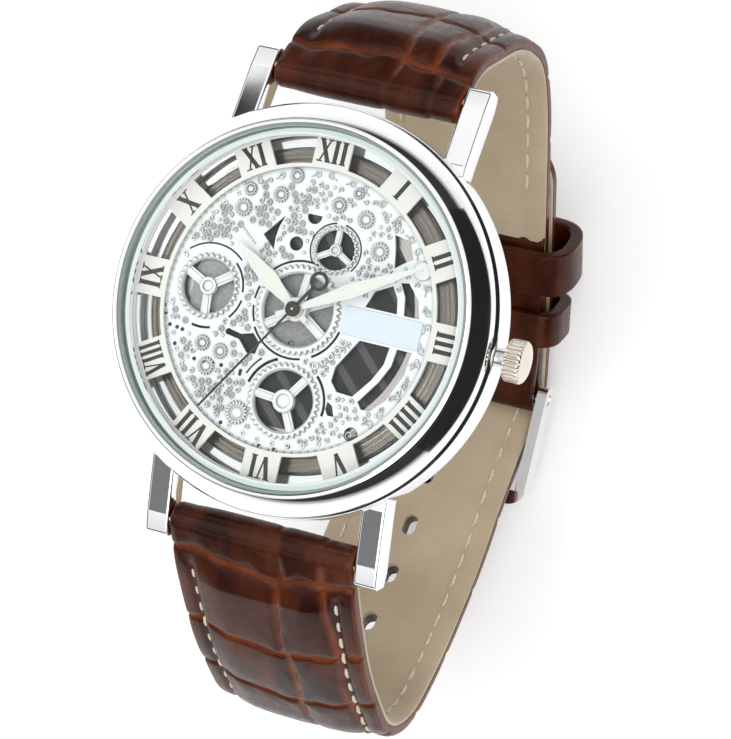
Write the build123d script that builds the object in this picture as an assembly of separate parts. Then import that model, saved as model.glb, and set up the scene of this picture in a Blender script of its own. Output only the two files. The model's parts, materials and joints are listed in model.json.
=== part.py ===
from build123d import *
import math
import os

# Skeleton wristwatch, dial up. Millimetres.
# Origin: centre of the case back's outer face. +Z out of the dial, +Y to 12 o'clock, +X to 3 o'clock.

# ---- driving dimensions ----
CASE_RADIUS = 20.2
CASE_TOP = 5.7
CASE_BOTTOM = 0.5
BACK_RADIUS = 17.0
BACK_THICKNESS = 0.8
BEZEL_RADIUS = 20.0
BEZEL_BASE = 5.85
BEZEL_TOP = 8.45
CRYSTAL_RADIUS = 17.55
CRYSTAL_BOTTOM = 7.65
CRYSTAL_TOP = 8.85
CAVITY_RADIUS = 15.9
SEAT_RADIUS = 17.1
SEAT_Z = 4.4
BAND_CHAMFER = 0.5
BEZEL_SEAT_RADIUS = 17.15
GASKET_SHELF_Z = 7.25
CRYSTAL_BEVEL = 0.45
HOLDER_RADIUS = 15.85
HOLDER_TOP = 4.9
GROOVE_DEPTH = 0.3

LUG_GAP = 20.0
LUG_WIDTH = 2.45
LUG_TIP_Y = 24.6
BAR_Y = 22.6
BAR_Z = 0.1

DIAL_TOP = 5.7
DIAL_THICKNESS = 0.35
DIAL_RADIUS = 14.1
HOUR_RING_TOP = 6.2
HOUR_RING_THICKNESS = 0.3
HOUR_PLATE_WIDTH = 3.75
HOUR_PLATE_LENGTH = 3.2
HOUR_PLATE_RADIUS = 15.6
HOUR_RING_RADIUS = 17.05
NAME_PLATE_THICKNESS = 0.12

MOVEMENT_RADIUS = 11.5
PLATE_BOTTOM = 2.6
PLATE_TOP = 4.85
BRIDGE_BOTTOM = 0.95
BRIDGE_TOP = 1.2

SECONDS_ARBOR = 0.12
MINUTE_TUBE = 0.38
HOUR_TUBE = 0.75
RUNNING_GAP = 0.04

STEM_Z = 3.9
STEM_RADIUS = 0.45
CROWN_RADIUS = 2.1
CROWN_INNER_X = 21.15
CROWN_OUTER_X = 23.3
TUBE_RADIUS = 0.9
TUBE_END_X = 22.1
CROWN_FLUTES = 26
FLUTE_RADIUS = 0.19
CROWN_FLAT_RADIUS = 0.3
CROWN_RECESS_RADIUS = 1.15
CROWN_RECESS_DEPTH = 1.2
TUBE_START_X = 16.2
TUBE_BORE = 0.52
GASKET_START_X = 21.35
GASKET_END_X = 21.85
PINION_RADIUS = 0.7
SQUARE_HALF = 0.22

STRAP_THICKNESS = 2.0
LEATHER_THICKNESS = 1.4
FOLD_THICKNESS = 0.9
STRAP_HALF_WIDTH = 9.85
STRAP_HALF_WIDTH_LOW = 9.0
STRAP_LOW_Z = -46.0
STRAP_EYE_RADIUS = 1.75
BEYOND = 60

BUCKLE_PIN_Y = -3.7
BUCKLE_PIN_Z = -48.3
BUCKLE_HALF_WIDTH = 10.45
BUCKLE_WALL = 1.1
BUCKLE_FREE_Y = -15.8
PIN_RADIUS = 0.6
BUCKLE_HALF_HEIGHT = 1.2
FREE_BAR_WIDTH = 1.6
TONGUE_WIDTH = 1.8
TONGUE_THICKNESS = 1.0
TONGUE_END = 13.0
TONGUE_LOOP_RADIUS = 1.25

SLEEVE_HALF_LENGTH = 8.8
SLEEVE_BORE = 0.62
SPRING_RADIUS = 0.42
SPRING_WIRE = 0.09
SPRING_LENGTH = 11.6
BAR_PIN_RADIUS = 0.4
BAR_PIN_HEAD = 0.57

# hands at ten past ten, measured clockwise from 12 o'clock
HOUR_ANGLE = 305
MINUTE_ANGLE = 61
SECOND_ANGLE = 213
HAND_THICKNESS = 0.15
HOUR_HAND_Z = 6.5
HOUR_HAND = {"length": 9.4, "width": 1.75, "tail": 1.6, "hub": 1.15}
MINUTE_HAND_Z = 6.9
MINUTE_HAND = {"length": 14.3, "width": 1.45, "tail": 1.9, "hub": 0.85}
SECOND_HAND_Z = 7.25
NEEDLE_THICKNESS = 0.12
NEEDLE_WIDTH = 0.2
COUNTER_RING_Y = -3.75
COUNTER_RING_RADIUS = 0.95
COUNTER_RING_BORE = 0.62
SECOND_HUB_RADIUS = 0.75

os.makedirs("parts", exist_ok=True)


def save(shape, name):
    shape.label = name
    export_step(shape, f"parts/{name}.step")


def polar(radius, angle):
    """A point on a circle about the dial's centre, angle counter-clockwise from +X."""
    return (radius * math.cos(math.radians(angle)), radius * math.sin(math.radians(angle)))


def tube(outer, inner, bottom, top):
    """A ring about Z between two heights."""
    return extrude(Plane.XY.offset(bottom) * (Circle(outer) - Circle(inner)), top - bottom)


def disc(radius, bottom, top, at=(0, 0)):
    """A round plate or pin about a vertical axis."""
    return extrude(Plane.XY.offset(bottom) * Pos(at[0], at[1]) * Circle(radius), top - bottom)


def rod_x(radius, x_low, x_high, y, z):
    """A round bar along X."""
    plane = Plane(origin=(x_low, y, z), x_dir=(0, 1, 0), z_dir=(1, 0, 0))
    return extrude(plane * Circle(radius), x_high - x_low)


def block(x_low, x_high, y_low, y_high, z_low, z_high):
    """A box between two corners."""
    size = (x_high - x_low, y_high - y_low, z_high - z_low)
    centre = ((x_low + x_high) / 2, (y_low + y_high) / 2, (z_low + z_high) / 2)
    return Pos(*centre) * Box(*size)


def turned(points):
    """A solid of revolution about Z from a closed outline of (radius, height) points."""
    outline = make_face(Polyline(*[(radius, 0, height) for radius, height in points], close=True))
    return revolve(outline, Axis.Z)


# ---- case ----
def make_case_middle():
    """Middle case: round band, stepped bore, four lugs with spring bar holes, and the tube's bore."""
    body = turned([(BACK_RADIUS + 0.1, CASE_BOTTOM), (CASE_RADIUS - 1.3, CASE_BOTTOM), (CASE_RADIUS, 1.7),
                   (CASE_RADIUS, CASE_TOP - BAND_CHAMFER), (CASE_RADIUS - BAND_CHAMFER, CASE_TOP),
                   (SEAT_RADIUS, CASE_TOP), (SEAT_RADIUS, SEAT_Z), (CAVITY_RADIUS, SEAT_Z),
                   (CAVITY_RADIUS, BACK_THICKNESS + 0.4),
                   (BACK_RADIUS + 0.1, BACK_THICKNESS + 0.4)])
    lug_outline = Polyline((0, 15.0, 3.45), (0, 17.0, 3.25), (0, 22.6, 1.55), (0, LUG_TIP_Y, 0.75),
                           (0, LUG_TIP_Y + 0.2, -0.1), (0, LUG_TIP_Y - 0.1, -1.75), (0, 22.8, -1.75),
                           (0, 17.6, 0.0), (0, 15.0, 0.75), close=True)
    lug = extrude(make_face(lug_outline), LUG_WIDTH, dir=(1, 0, 0))
    lug = chamfer(lug.edges().filter_by(Axis.X, reverse=True), 0.18)
    lug = Pos(LUG_GAP / 2, 0, 0) * lug
    core = disc(CASE_RADIUS - 0.3, CASE_BOTTOM, CASE_TOP)
    bar_hole = rod_x(0.45, LUG_GAP / 2 - 1, LUG_GAP / 2 + 1.5, BAR_Y, BAR_Z)
    lug = lug - core - bar_hole
    lug_left = mirror(lug, Plane.YZ)
    stub = make_lug_root()
    lugs = [lug, lug_left, mirror(lug, Plane.XZ), mirror(lug_left, Plane.XZ)]
    for one in lugs:
        body = body + one
    for one in (stub, mirror(stub, Plane.YZ), mirror(stub, Plane.XZ),
                mirror(mirror(stub, Plane.YZ), Plane.XZ)):
        body = body + one
    return body - rod_x(TUBE_RADIUS, 14, 24, 0, STEM_Z)


def make_lug_root():
    """Joins a lug's root to the round band."""
    root = block(LUG_GAP / 2, LUG_GAP / 2 + LUG_WIDTH, 13.0, 18.4, 0.75, 3.3)
    return root & tube(CASE_RADIUS + 0.2, 17.6, CASE_BOTTOM, CASE_TOP)


def make_bezel():
    """Polished domed bezel that is pressed on the middle case and holds the crystal's gasket."""
    inner = CRYSTAL_RADIUS + 0.25
    base = BEZEL_BASE
    with BuildSketch(Plane.XZ) as outline:
        with BuildLine():
            Polyline((inner, GASKET_SHELF_Z), (BEZEL_SEAT_RADIUS, GASKET_SHELF_Z), (BEZEL_SEAT_RADIUS, base),
                     (BEZEL_RADIUS - 0.35, base), (BEZEL_RADIUS, base + 0.3), (BEZEL_RADIUS, base + 0.9))
            ThreePointArc((BEZEL_RADIUS, base + 0.9), (19.35, 7.95), (inner + 0.55, BEZEL_TOP))
            Polyline((inner + 0.55, BEZEL_TOP), (inner + 0.1, BEZEL_TOP), (inner, BEZEL_TOP - 0.1),
                     (inner, GASKET_SHELF_Z))
        make_face()
    return revolve(outline.sketch, Axis.Z)


def make_crystal():
    """Flat mineral crystal with a bevelled upper edge."""
    return turned([(0, CRYSTAL_BOTTOM), (CRYSTAL_RADIUS, CRYSTAL_BOTTOM),
                   (CRYSTAL_RADIUS, CRYSTAL_TOP - CRYSTAL_BEVEL), (CRYSTAL_RADIUS - 0.6, CRYSTAL_TOP),
                   (0, CRYSTAL_TOP)])


def make_flange():
    """Polished flange ring between the hour ring and the crystal."""
    return turned([(17.0, 6.25), (17.13, 6.25), (17.13, GASKET_SHELF_Z), (CRYSTAL_RADIUS, GASKET_SHELF_Z),
                   (CRYSTAL_RADIUS, CRYSTAL_BOTTOM), (16.75, CRYSTAL_BOTTOM)])


def make_case_back():
    """Press-fit case back with a raised rim inside."""
    rim = tube(15.8, 15.2, BACK_THICKNESS, BACK_THICKNESS + 0.6)
    plate = disc(BACK_RADIUS, 0, BACK_THICKNESS)
    notch = block(-1.6, 1.6, BACK_RADIUS - 0.5, BACK_RADIUS + 1, -0.1, 0.35)
    return chamfer(plate.edges().group_by(Axis.Z)[0], 0.25) + rim - notch


def make_holder():
    """Movement holder ring with a grooved upper face and a slot for the stem."""
    profile = [(MOVEMENT_RADIUS + 0.05, BACK_THICKNESS + 0.65), (15.1, BACK_THICKNESS + 0.65),
               (15.1, 1.5), (HOLDER_RADIUS, 1.5), (HOLDER_RADIUS, HOLDER_TOP - GROOVE_DEPTH)]
    for step in range(4):
        radius = HOLDER_RADIUS - 0.25 - 0.5 * step
        profile += [(radius, HOLDER_TOP), (radius - 0.25, HOLDER_TOP - GROOVE_DEPTH)]
    profile += [(13.4, HOLDER_TOP), (MOVEMENT_RADIUS + 0.05, HOLDER_TOP)]
    slot = block(MOVEMENT_RADIUS - 1, 17, -0.6, 0.6, STEM_Z - 0.6, 6)
    return turned(profile) - slot


# ---- dial ----
def spoked_openings(centre, inner, outer, spokes, width):
    """Openings between a hub and a rim, parted by straight spokes."""
    openings = Circle(outer) - Circle(inner)
    for angle in spokes:
        openings -= Rot(0, 0, angle) * Pos(outer / 2 + 0.3, 0) * Rectangle(outer + 0.6, width)
    return Pos(*centre) * openings


def arc_slot(centre, radius, start, sweep, width):
    """A narrow curved slot that outlines a wheel."""
    angles = math.radians(start), math.radians(start + sweep)
    ends = [(radius * math.cos(a), radius * math.sin(a)) for a in angles]
    middle = math.radians(start + sweep / 2)
    line = ThreePointArc(ends[0], (radius * math.cos(middle), radius * math.sin(middle)), ends[1])
    return Pos(*centre) * trace(line, width)


CENTRE_WHEEL = (0.0, 0.0)
LEFT_WHEEL = (-9.65, 0.3)
LOWER_WHEEL = (0.65, -8.85)
UPPER_WHEEL = (2.35, 6.4)
NAME_PLATE = (8.75, 0.15, 7.9, 2.7)


def dial_openings():
    """Every opening of the skeleton dial, as one sketch."""
    cut = spoked_openings(CENTRE_WHEEL, 1.15, 3.55, (-34, 27, 85, 146, 214), 0.95)
    cut += spoked_openings(LEFT_WHEEL, 0.9, 2.65, (35, 155, 275), 0.9)
    cut += spoked_openings(LOWER_WHEEL, 1.15, 3.0, (55, 175, 297), 0.85)
    cut += spoked_openings(UPPER_WHEEL, 0.62, 1.95, (90, 210, 330), 0.6)
    cut += arc_slot(CENTRE_WHEEL, 4.75, 74, 62, 0.22)
    cut += arc_slot(CENTRE_WHEEL, 4.75, 212, 74, 0.22)
    cut += arc_slot(CENTRE_WHEEL, 4.75, 300, 46, 0.25)
    cut += arc_slot(CENTRE_WHEEL, 4.65, 162, 16, 0.22)
    cut += arc_slot(CENTRE_WHEEL, 4.65, 186, 20, 0.22)
    cut += arc_slot(LEFT_WHEEL, 4.2, 48, 84, 0.18)
    cut += arc_slot(LEFT_WHEEL, 3.6, 2, 48, 0.22)
    cut += arc_slot(LEFT_WHEEL, 3.75, 318, 32, 0.22)
    cut += arc_slot(LEFT_WHEEL, 4.05, 258, 28, 0.25)
    cut += arc_slot(LOWER_WHEEL, 4.15, -8, 56, 0.28)
    cut += arc_slot(LOWER_WHEEL, 4.1, 112, 54, 0.3)
    cut += arc_slot(LOWER_WHEEL, 4.75, 132, 26, 0.18)
    cut += arc_slot(UPPER_WHEEL, 2.6, -40, 120, 0.16)
    cut += arc_slot(UPPER_WHEEL, 2.6, 100, 118, 0.16)
    for x, y, radius in ((-1.75, 6.2, 0.7), (8.1, -10.45, 0.72), (-6.55, -3.55, 0.32)):
        cut += Pos(x, y) * Circle(radius)
    cut += Pos(-0.5, 9.15) * (Circle(0.75) & Pos(0, -0.45) * Rectangle(2, 1.2))
    fin = [(-3.45, 8.65), (-5.3, 6.4), (-3.9, 5.15), (-3.98, 6.4), (-3.85, 7.4)]
    bird = [(-6.5, -3.25), (-5.2, -3.5), (-3.95, -3.15), (-3.1, -4.0), (-3.35, -5.1), (-4.25, -5.15),
            (-5.3, -4.05), (-6.6, -3.85)]
    lower_inner = [(6.8, -1.5), (9.95, -1.5), (9.75, -3.2), (8.9, -4.9), (7.35, -6.9), (5.7, -6.8),
                   (4.9, -5.9), (5.0, -4.5)]
    lower_outer = [(10.7, -1.5), (12.25, -1.5), (12.0, -3.7), (10.75, -6.5), (9.5, -7.8), (8.5, -7.9),
                   (8.0, -7.25), (9.6, -5.0), (10.5, -3.2)]
    upper_inner = [(6.6, 1.75), (9.9, 1.75), (9.6, 3.2), (8.9, 4.3), (7.2, 3.4)]
    upper_outer = [(10.6, 1.75), (12.2, 1.75), (11.7, 3.5), (10.4, 4.9), (9.6, 4.75), (10.3, 3.5)]
    upper_fan = [(7.9, 9.1), (9.6, 8.8), (10.3, 7.2), (9.4, 6.6), (8.6, 5.95), (8.3, 7.6)]
    sliver = [(5.05, -7.9), (5.6, -8.2), (6.0, -9.2), (5.3, -9.2), (4.95, -8.6)]
    for points in (fin, bird, lower_inner, lower_outer, upper_inner, upper_outer, upper_fan, sliver):
        cut += make_face(Polyline(*points, close=True))
    return cut


def make_dial():
    """Skeleton dial: one thin disc with its openings and a hole for the hour pipe."""
    plate = Circle(DIAL_RADIUS) - dial_openings() - Circle(HOUR_TUBE + 0.15)
    return extrude(Plane.XY.offset(DIAL_TOP - DIAL_THICKNESS) * plate, DIAL_THICKNESS)


def make_name_plate():
    """Blank name plate laid on the dial's bar at 3 o'clock."""
    x, y, width, height = NAME_PLATE
    return Pos(x, y, DIAL_TOP + NAME_PLATE_THICKNESS / 2) * Box(width, height, NAME_PLATE_THICKNESS)


def make_hour_ring():
    """Hour ring: a narrow rim on the dial's edge and twelve flat hour plates."""
    bottom = HOUR_RING_TOP - HOUR_RING_THICKNESS
    ring = Circle(DIAL_RADIUS + 0.1) - Circle(DIAL_RADIUS - 0.25)
    for hour in range(12):
        plate = Rectangle(HOUR_PLATE_WIDTH, HOUR_PLATE_LENGTH)
        ring += Rot(0, 0, -30 * hour) * Pos(0, HOUR_PLATE_RADIUS) * plate
    ring += Circle(HOUR_RING_RADIUS) - Circle(HOUR_RING_RADIUS - 0.25)
    ring = ring & Circle(HOUR_RING_RADIUS)
    feet = Circle(DIAL_RADIUS) - Circle(DIAL_RADIUS - 0.2)
    solid = extrude(Plane.XY.offset(bottom) * ring, HOUR_RING_THICKNESS)
    return solid + extrude(Plane.XY.offset(DIAL_TOP) * feet, bottom - DIAL_TOP)


# ---- hands ----
def hand_outline(length, width, tail, hub):
    """Leaf hand pointing along +Y with a round hub."""
    leaf = make_face(Polyline((-0.22, 0), (-width / 2, length * 0.42), (-width * 0.3, length * 0.72),
                              (0, length), (width * 0.3, length * 0.72), (width / 2, length * 0.42),
                              (0.22, 0), (0.3, -tail), (-0.3, -tail), close=True))
    return leaf + Circle(hub)


def make_hand(length, width, tail, hub, bore, bottom, angle):
    """A leaf hand with a window for its inlay."""
    window = make_face(Polyline((-width * 0.12, length * 0.2), (-width * 0.28, length * 0.43),
                                (0, length * 0.83), (width * 0.28, length * 0.43),
                                (width * 0.12, length * 0.2), close=True))
    blade = hand_outline(length, width, tail, hub) - window - Circle(bore)
    blade = extrude(Plane.XY.offset(bottom) * blade, HAND_THICKNESS)
    inlay = extrude(Plane.XY.offset(bottom + 0.02) * window, HAND_THICKNESS - 0.03)
    return Rot(0, 0, -angle) * blade, Rot(0, 0, -angle) * inlay


def make_second_hand():
    """Thin second hand with a ring counterweight and a capped hub."""
    needle = Pos(0, 6.6) * Rectangle(NEEDLE_WIDTH, 13.6) + Pos(0, -1.8) * Rectangle(0.3, 2.2)
    needle += Pos(0, COUNTER_RING_Y) * (Circle(COUNTER_RING_RADIUS) - Circle(COUNTER_RING_BORE))
    needle += Circle(SECOND_HUB_RADIUS)
    blade = extrude(Plane.XY.offset(SECOND_HAND_Z) * (needle - Circle(SECONDS_ARBOR)), NEEDLE_THICKNESS)
    top = SECOND_HAND_Z + NEEDLE_THICKNESS
    cap = tube(SECOND_HUB_RADIUS - 0.05, SECONDS_ARBOR, top, ARBOR_TOP)
    return Rot(0, 0, -SECOND_ANGLE) * (blade + cap)


# ---- gear train ----
def gear(teeth, module, bottom, top, phase, at=(0, 0), bore=0.0):
    """Spur gear with straight-flanked teeth and one tooth centred on the phase angle."""
    pitch = module * teeth / 2
    step = 360 / teeth
    points = []
    for tooth in range(teeth):
        angle = phase + tooth * step
        for radius, share in ((pitch - 1.15 * module, -0.30), (pitch + 0.8 * module, -0.11),
                              (pitch + 0.8 * module, 0.11), (pitch - 1.15 * module, 0.30)):
            points.append(polar(radius, angle + share * step))
    face = make_face(Polyline(*points, close=True))
    if bore:
        face -= Circle(bore)
    return extrude(Plane.XY.offset(bottom) * Pos(at[0], at[1]) * face, top - bottom)


def mesh_phase(alpha, phase_a, teeth_a, teeth_b):
    """Phase of gear B so that its teeth fall between A's, with B in direction alpha from A."""
    return alpha + 180 - teeth_a / teeth_b * (phase_a - alpha) - 180 / teeth_b


def lightened(wheel, radius_in, radius_out, bottom, top, at, phase):
    """Takes five round holes out of a wheel's web."""
    middle = (radius_in + radius_out) / 2
    hole = (radius_out - radius_in) / 2
    for spoke in range(5):
        x, y = polar(middle, phase + 72 * spoke)
        wheel -= disc(hole, bottom - 1, top + 1, (at[0] + x, at[1] + y))
    return wheel


SECONDS_MODULE = 0.075
SECONDS_PINION_MODULE = 0.09
THIRD_PINION_MODULE = 0.085
ROTOR_MODULE = 0.06
CANNON_MODULE = 0.1375
HOUR_MODULE = 0.11
SECONDS_WHEEL_Z = 1.35
THIRD_WHEEL_Z = 1.75
CENTRE_WHEEL_Z = 2.28
INTERMEDIATE_WHEEL_Z = 1.72
MINUTE_WHEEL_Z = 4.12
HOUR_WHEEL_Z = 4.52
WHEEL_THICKNESS = 0.15
PIVOT_LOW = 1.05
PIVOT_HIGH = 2.75
ARBOR_TOP = 7.47
THIRD_ANGLE = 60
THIRD_DISTANCE = 3.06
THIRD = polar(THIRD_DISTANCE, THIRD_ANGLE)
INTERMEDIATE_ANGLE = 200
INTERMEDIATE_DISTANCE = 2.25
INTERMEDIATE = polar(INTERMEDIATE_DISTANCE, INTERMEDIATE_ANGLE)
ROTOR_DISTANCE = 1.68
ROTOR = polar(INTERMEDIATE_DISTANCE + ROTOR_DISTANCE, INTERMEDIATE_ANGLE)
MINUTE_WHEEL_ANGLE = 266.5
MINUTE_WHEEL_DISTANCE = 3.3
MINUTE_WHEEL = polar(MINUTE_WHEEL_DISTANCE, MINUTE_WHEEL_ANGLE)


def make_train():
    """Every wheel of the train, in mesh, as a dictionary of solids."""
    wheels = {}
    # seconds wheel with its pinion and the long arbor that carries the second hand
    seconds_phase = 0
    low, high = SECONDS_WHEEL_Z, SECONDS_WHEEL_Z + WHEEL_THICKNESS
    seconds = gear(50, SECONDS_MODULE, low, high, seconds_phase, bore=0.3)
    seconds = lightened(seconds, 0.55, 1.45, low, high, (0, 0), 36)
    seconds += disc(0.32, 1.3, 1.6)
    seconds += gear(8, SECONDS_PINION_MODULE, 1.6, 2.05, THIRD_ANGLE)
    wheels["seconds_wheel"] = seconds + disc(SECONDS_ARBOR, PIVOT_LOW, ARBOR_TOP)
    # third wheel
    third_phase = mesh_phase(THIRD_ANGLE, THIRD_ANGLE, 8, 60)
    low, high = THIRD_WHEEL_Z, THIRD_WHEEL_Z + WHEEL_THICKNESS
    third = gear(60, SECONDS_PINION_MODULE, low, high, third_phase, THIRD)
    third = lightened(third, 0.75, 2.05, low, high, THIRD, third_phase)
    third_pinion_phase = THIRD_ANGLE + 180
    third += gear(8, THIRD_PINION_MODULE, high, 2.5, third_pinion_phase, THIRD)
    wheels["third_wheel"] = third + disc(0.12, PIVOT_LOW, PIVOT_HIGH, THIRD)
    # centre wheel with the minute tube and its cannon pinion
    centre_phase = mesh_phase(THIRD_ANGLE + 180, third_pinion_phase, 8, 64)
    low, high = CENTRE_WHEEL_Z, CENTRE_WHEEL_Z + WHEEL_THICKNESS
    centre = gear(64, THIRD_PINION_MODULE, low, high, centre_phase)
    centre = lightened(centre, 0.85, 2.05, low, high, (0, 0), 36)
    centre += gear(12, CANNON_MODULE, 4.05, 4.4, MINUTE_WHEEL_ANGLE)
    centre += disc(MINUTE_TUBE, 2.2, 7.13)
    wheels["centre_wheel"] = centre - disc(SECONDS_ARBOR + RUNNING_GAP, 2, 8)
    # intermediate wheel
    pinion_phase = mesh_phase(INTERMEDIATE_ANGLE, seconds_phase, 50, 10)
    low, high = INTERMEDIATE_WHEEL_Z, INTERMEDIATE_WHEEL_Z + WHEEL_THICKNESS
    middle = gear(10, SECONDS_MODULE, 1.28, low, pinion_phase, INTERMEDIATE)
    wheel_phase = INTERMEDIATE_ANGLE
    middle += gear(48, ROTOR_MODULE, low, high, wheel_phase, INTERMEDIATE)
    wheels["intermediate_wheel"] = middle + disc(0.1, PIVOT_LOW, PIVOT_HIGH, INTERMEDIATE)
    # rotor: a round magnet under its pinion
    rotor_phase = mesh_phase(INTERMEDIATE_ANGLE, wheel_phase, 48, 8)
    rotor = gear(8, ROTOR_MODULE, 1.65, 1.95, rotor_phase, ROTOR)
    rotor += disc(0.6, 1.3, 1.6, ROTOR) + disc(0.15, 1.55, 1.7, ROTOR)
    wheels["rotor"] = rotor + disc(0.09, PIVOT_LOW, PIVOT_HIGH, ROTOR)
    # minute wheel and hour wheel under the dial
    minute_phase = mesh_phase(MINUTE_WHEEL_ANGLE, MINUTE_WHEEL_ANGLE, 12, 36)
    low, high = MINUTE_WHEEL_Z, MINUTE_WHEEL_Z + WHEEL_THICKNESS
    minute = gear(36, CANNON_MODULE, low, high, minute_phase, MINUTE_WHEEL)
    minute += gear(12, HOUR_MODULE, high, 4.72, MINUTE_WHEEL_ANGLE + 180, MINUTE_WHEEL)
    wheels["minute_wheel"] = minute - disc(0.27, 4, 5, MINUTE_WHEEL)
    hour_phase = mesh_phase(MINUTE_WHEEL_ANGLE + 180, MINUTE_WHEEL_ANGLE + 180, 12, 48)
    low, high = HOUR_WHEEL_Z, HOUR_WHEEL_Z + WHEEL_THICKNESS
    hour = gear(48, HOUR_MODULE, low, high, hour_phase) + disc(HOUR_TUBE, 4.45, 6.7)
    wheels["hour_wheel"] = hour - disc(MINUTE_TUBE + RUNNING_GAP, 4, 8)
    return wheels


# ---- movement ----
BATTERY = polar(7.5, -60)
BATTERY_RADIUS = 3.4
SCREW_RADIUS = 0.33
SCREW_HEAD_RADIUS = 0.7
CAN_RADIUS = 0.5
BOARD_SIZE = (9.2, 3.4)
BOARD_CENTRE = (-0.6, 8.2)
BOARD_Z = 2.05
STATOR_Z = 1.3
CORE_Z = 1.62
GROOVE_X = 9.6
SCREWS = (polar(8.6, 35), polar(8.6, 250), polar(10.2, 192))
LEVER_PIVOT = (GROOVE_X, 2.2)
COIL_ENDS = ((-8.4, -3.4), (-6.0, 4.2))


def make_main_plate():
    """Main plate with pockets for the battery, the train and the setting work."""
    plate = disc(MOVEMENT_RADIUS, PLATE_BOTTOM, PLATE_TOP)
    plate -= disc(BATTERY_RADIUS + 0.12, 0, 3.75, BATTERY)
    plate -= disc(2.95, 3.95, 6) + disc(2.75, 3.95, 6, MINUTE_WHEEL)
    plate -= disc(MINUTE_TUBE + RUNNING_GAP, 0, 6)
    plate -= rod_x(STEM_RADIUS + 0.1, 5.2, 13, 0, STEM_Z) + rod_x(1.0, 5.6, 7.6, 0, STEM_Z)
    plate -= block(8.6, 11.2, -0.75, 3.3, 4.1, 6)
    plate += disc(0.23, 3.95, 4.95, MINUTE_WHEEL) + disc(0.35, 3.5, 4.78, LEVER_PIVOT)
    for at, radius in ((THIRD, 0.15), (INTERMEDIATE, 0.13), (ROTOR, 0.12)):
        plate -= disc(radius, 0, 3, at)
    for at in SCREWS:
        plate += disc(0.9, BRIDGE_TOP, PLATE_BOTTOM, at)
        plate -= disc(0.35, 0, 3.6, at)
    return plate


def make_cover_plate():
    """Dial-side cover that keeps the hour wheel in place, seen through the centre wheel."""
    cover = disc(MOVEMENT_RADIUS, PLATE_TOP, PLATE_TOP + 0.2)
    cover -= disc(HOUR_TUBE + RUNNING_GAP, 0, 8)
    return cover - disc(0.3, 0, 8, MINUTE_WHEEL)


def make_bridge():
    """Train bridge on three pillars, with pivot holes."""
    bridge = Circle(5.6) + Pos(*SCREWS[0]) * Circle(1.3) + Pos(*SCREWS[1]) * Circle(1.3)
    bridge += Pos(*SCREWS[2]) * Circle(1.3)
    for at in SCREWS:
        bridge += trace(Line((0, 0), at), 2.2)
    bridge -= Pos(*BATTERY) * Circle(BATTERY_RADIUS + 0.2)
    for at, radius in (((0, 0), 0.15), (THIRD, 0.15), (INTERMEDIATE, 0.13), (ROTOR, 0.12)):
        bridge -= Pos(*at) * Circle(radius)
    for at in SCREWS:
        bridge -= Pos(*at) * Circle(0.37)
    return extrude(Plane.XY.offset(BRIDGE_BOTTOM) * bridge, BRIDGE_TOP - BRIDGE_BOTTOM)


def make_screws():
    """Three slotted screws that hold the bridge."""
    screws = []
    for at in SCREWS:
        screw = disc(SCREW_HEAD_RADIUS, 0.85, BRIDGE_BOTTOM, at) + disc(SCREW_RADIUS, BRIDGE_BOTTOM, 3.4, at)
        slot = block(at[0] - SCREW_HEAD_RADIUS, at[0] + SCREW_HEAD_RADIUS, at[1] - 0.1, at[1] + 0.1,
                     0.8, 0.9)
        screws.append(screw - slot)
    return Compound(children=screws)


def make_stator():
    """Stator plate around the rotor, reaching to both ends of the coil."""
    face = Pos(*ROTOR) * Circle(1.5)
    for x, y in COIL_ENDS:
        face += trace(Line(ROTOR, (x, y)), 1.3) + Pos(x, y) * Circle(0.8)
    face -= Pos(*ROTOR) * Circle(0.75)
    face -= Pos(*INTERMEDIATE) * Circle(0.75)
    return extrude(Plane.XY.offset(STATOR_Z) * face, 0.3)


def along(start, end, width, height, bottom):
    """A bar with a rectangular section between two points in plan."""
    return extrude(Plane.XY.offset(bottom) * trace(Line(start, end), width), height)


def make_coil():
    """Coil core with the winding round its middle."""
    start, end = COIL_ENDS
    lean = [(start[0] + share * (end[0] - start[0]), start[1] + share * (end[1] - start[1]))
            for share in (0.14, 0.86)]
    core = along(start, end, 0.8, 0.35, CORE_Z)
    core += disc(0.75, CORE_Z, CORE_Z + 0.35, start) + disc(0.75, CORE_Z, CORE_Z + 0.35, end)
    return core, along(lean[0], lean[1], 1.9, 0.9, 1.65) - along(start, end, 0.84, 0.4, 1.6)


def make_board():
    """Circuit board with its chip."""
    board = extrude(Plane.XY.offset(BOARD_Z) * Pos(*BOARD_CENTRE) * Rectangle(*BOARD_SIZE), 0.25)
    board += Pos(-2.2, 8.2, 1.9) * Box(1.8, 1.8, 0.3)
    return board & disc(MOVEMENT_RADIUS - 0.3, 0, 4)


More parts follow.
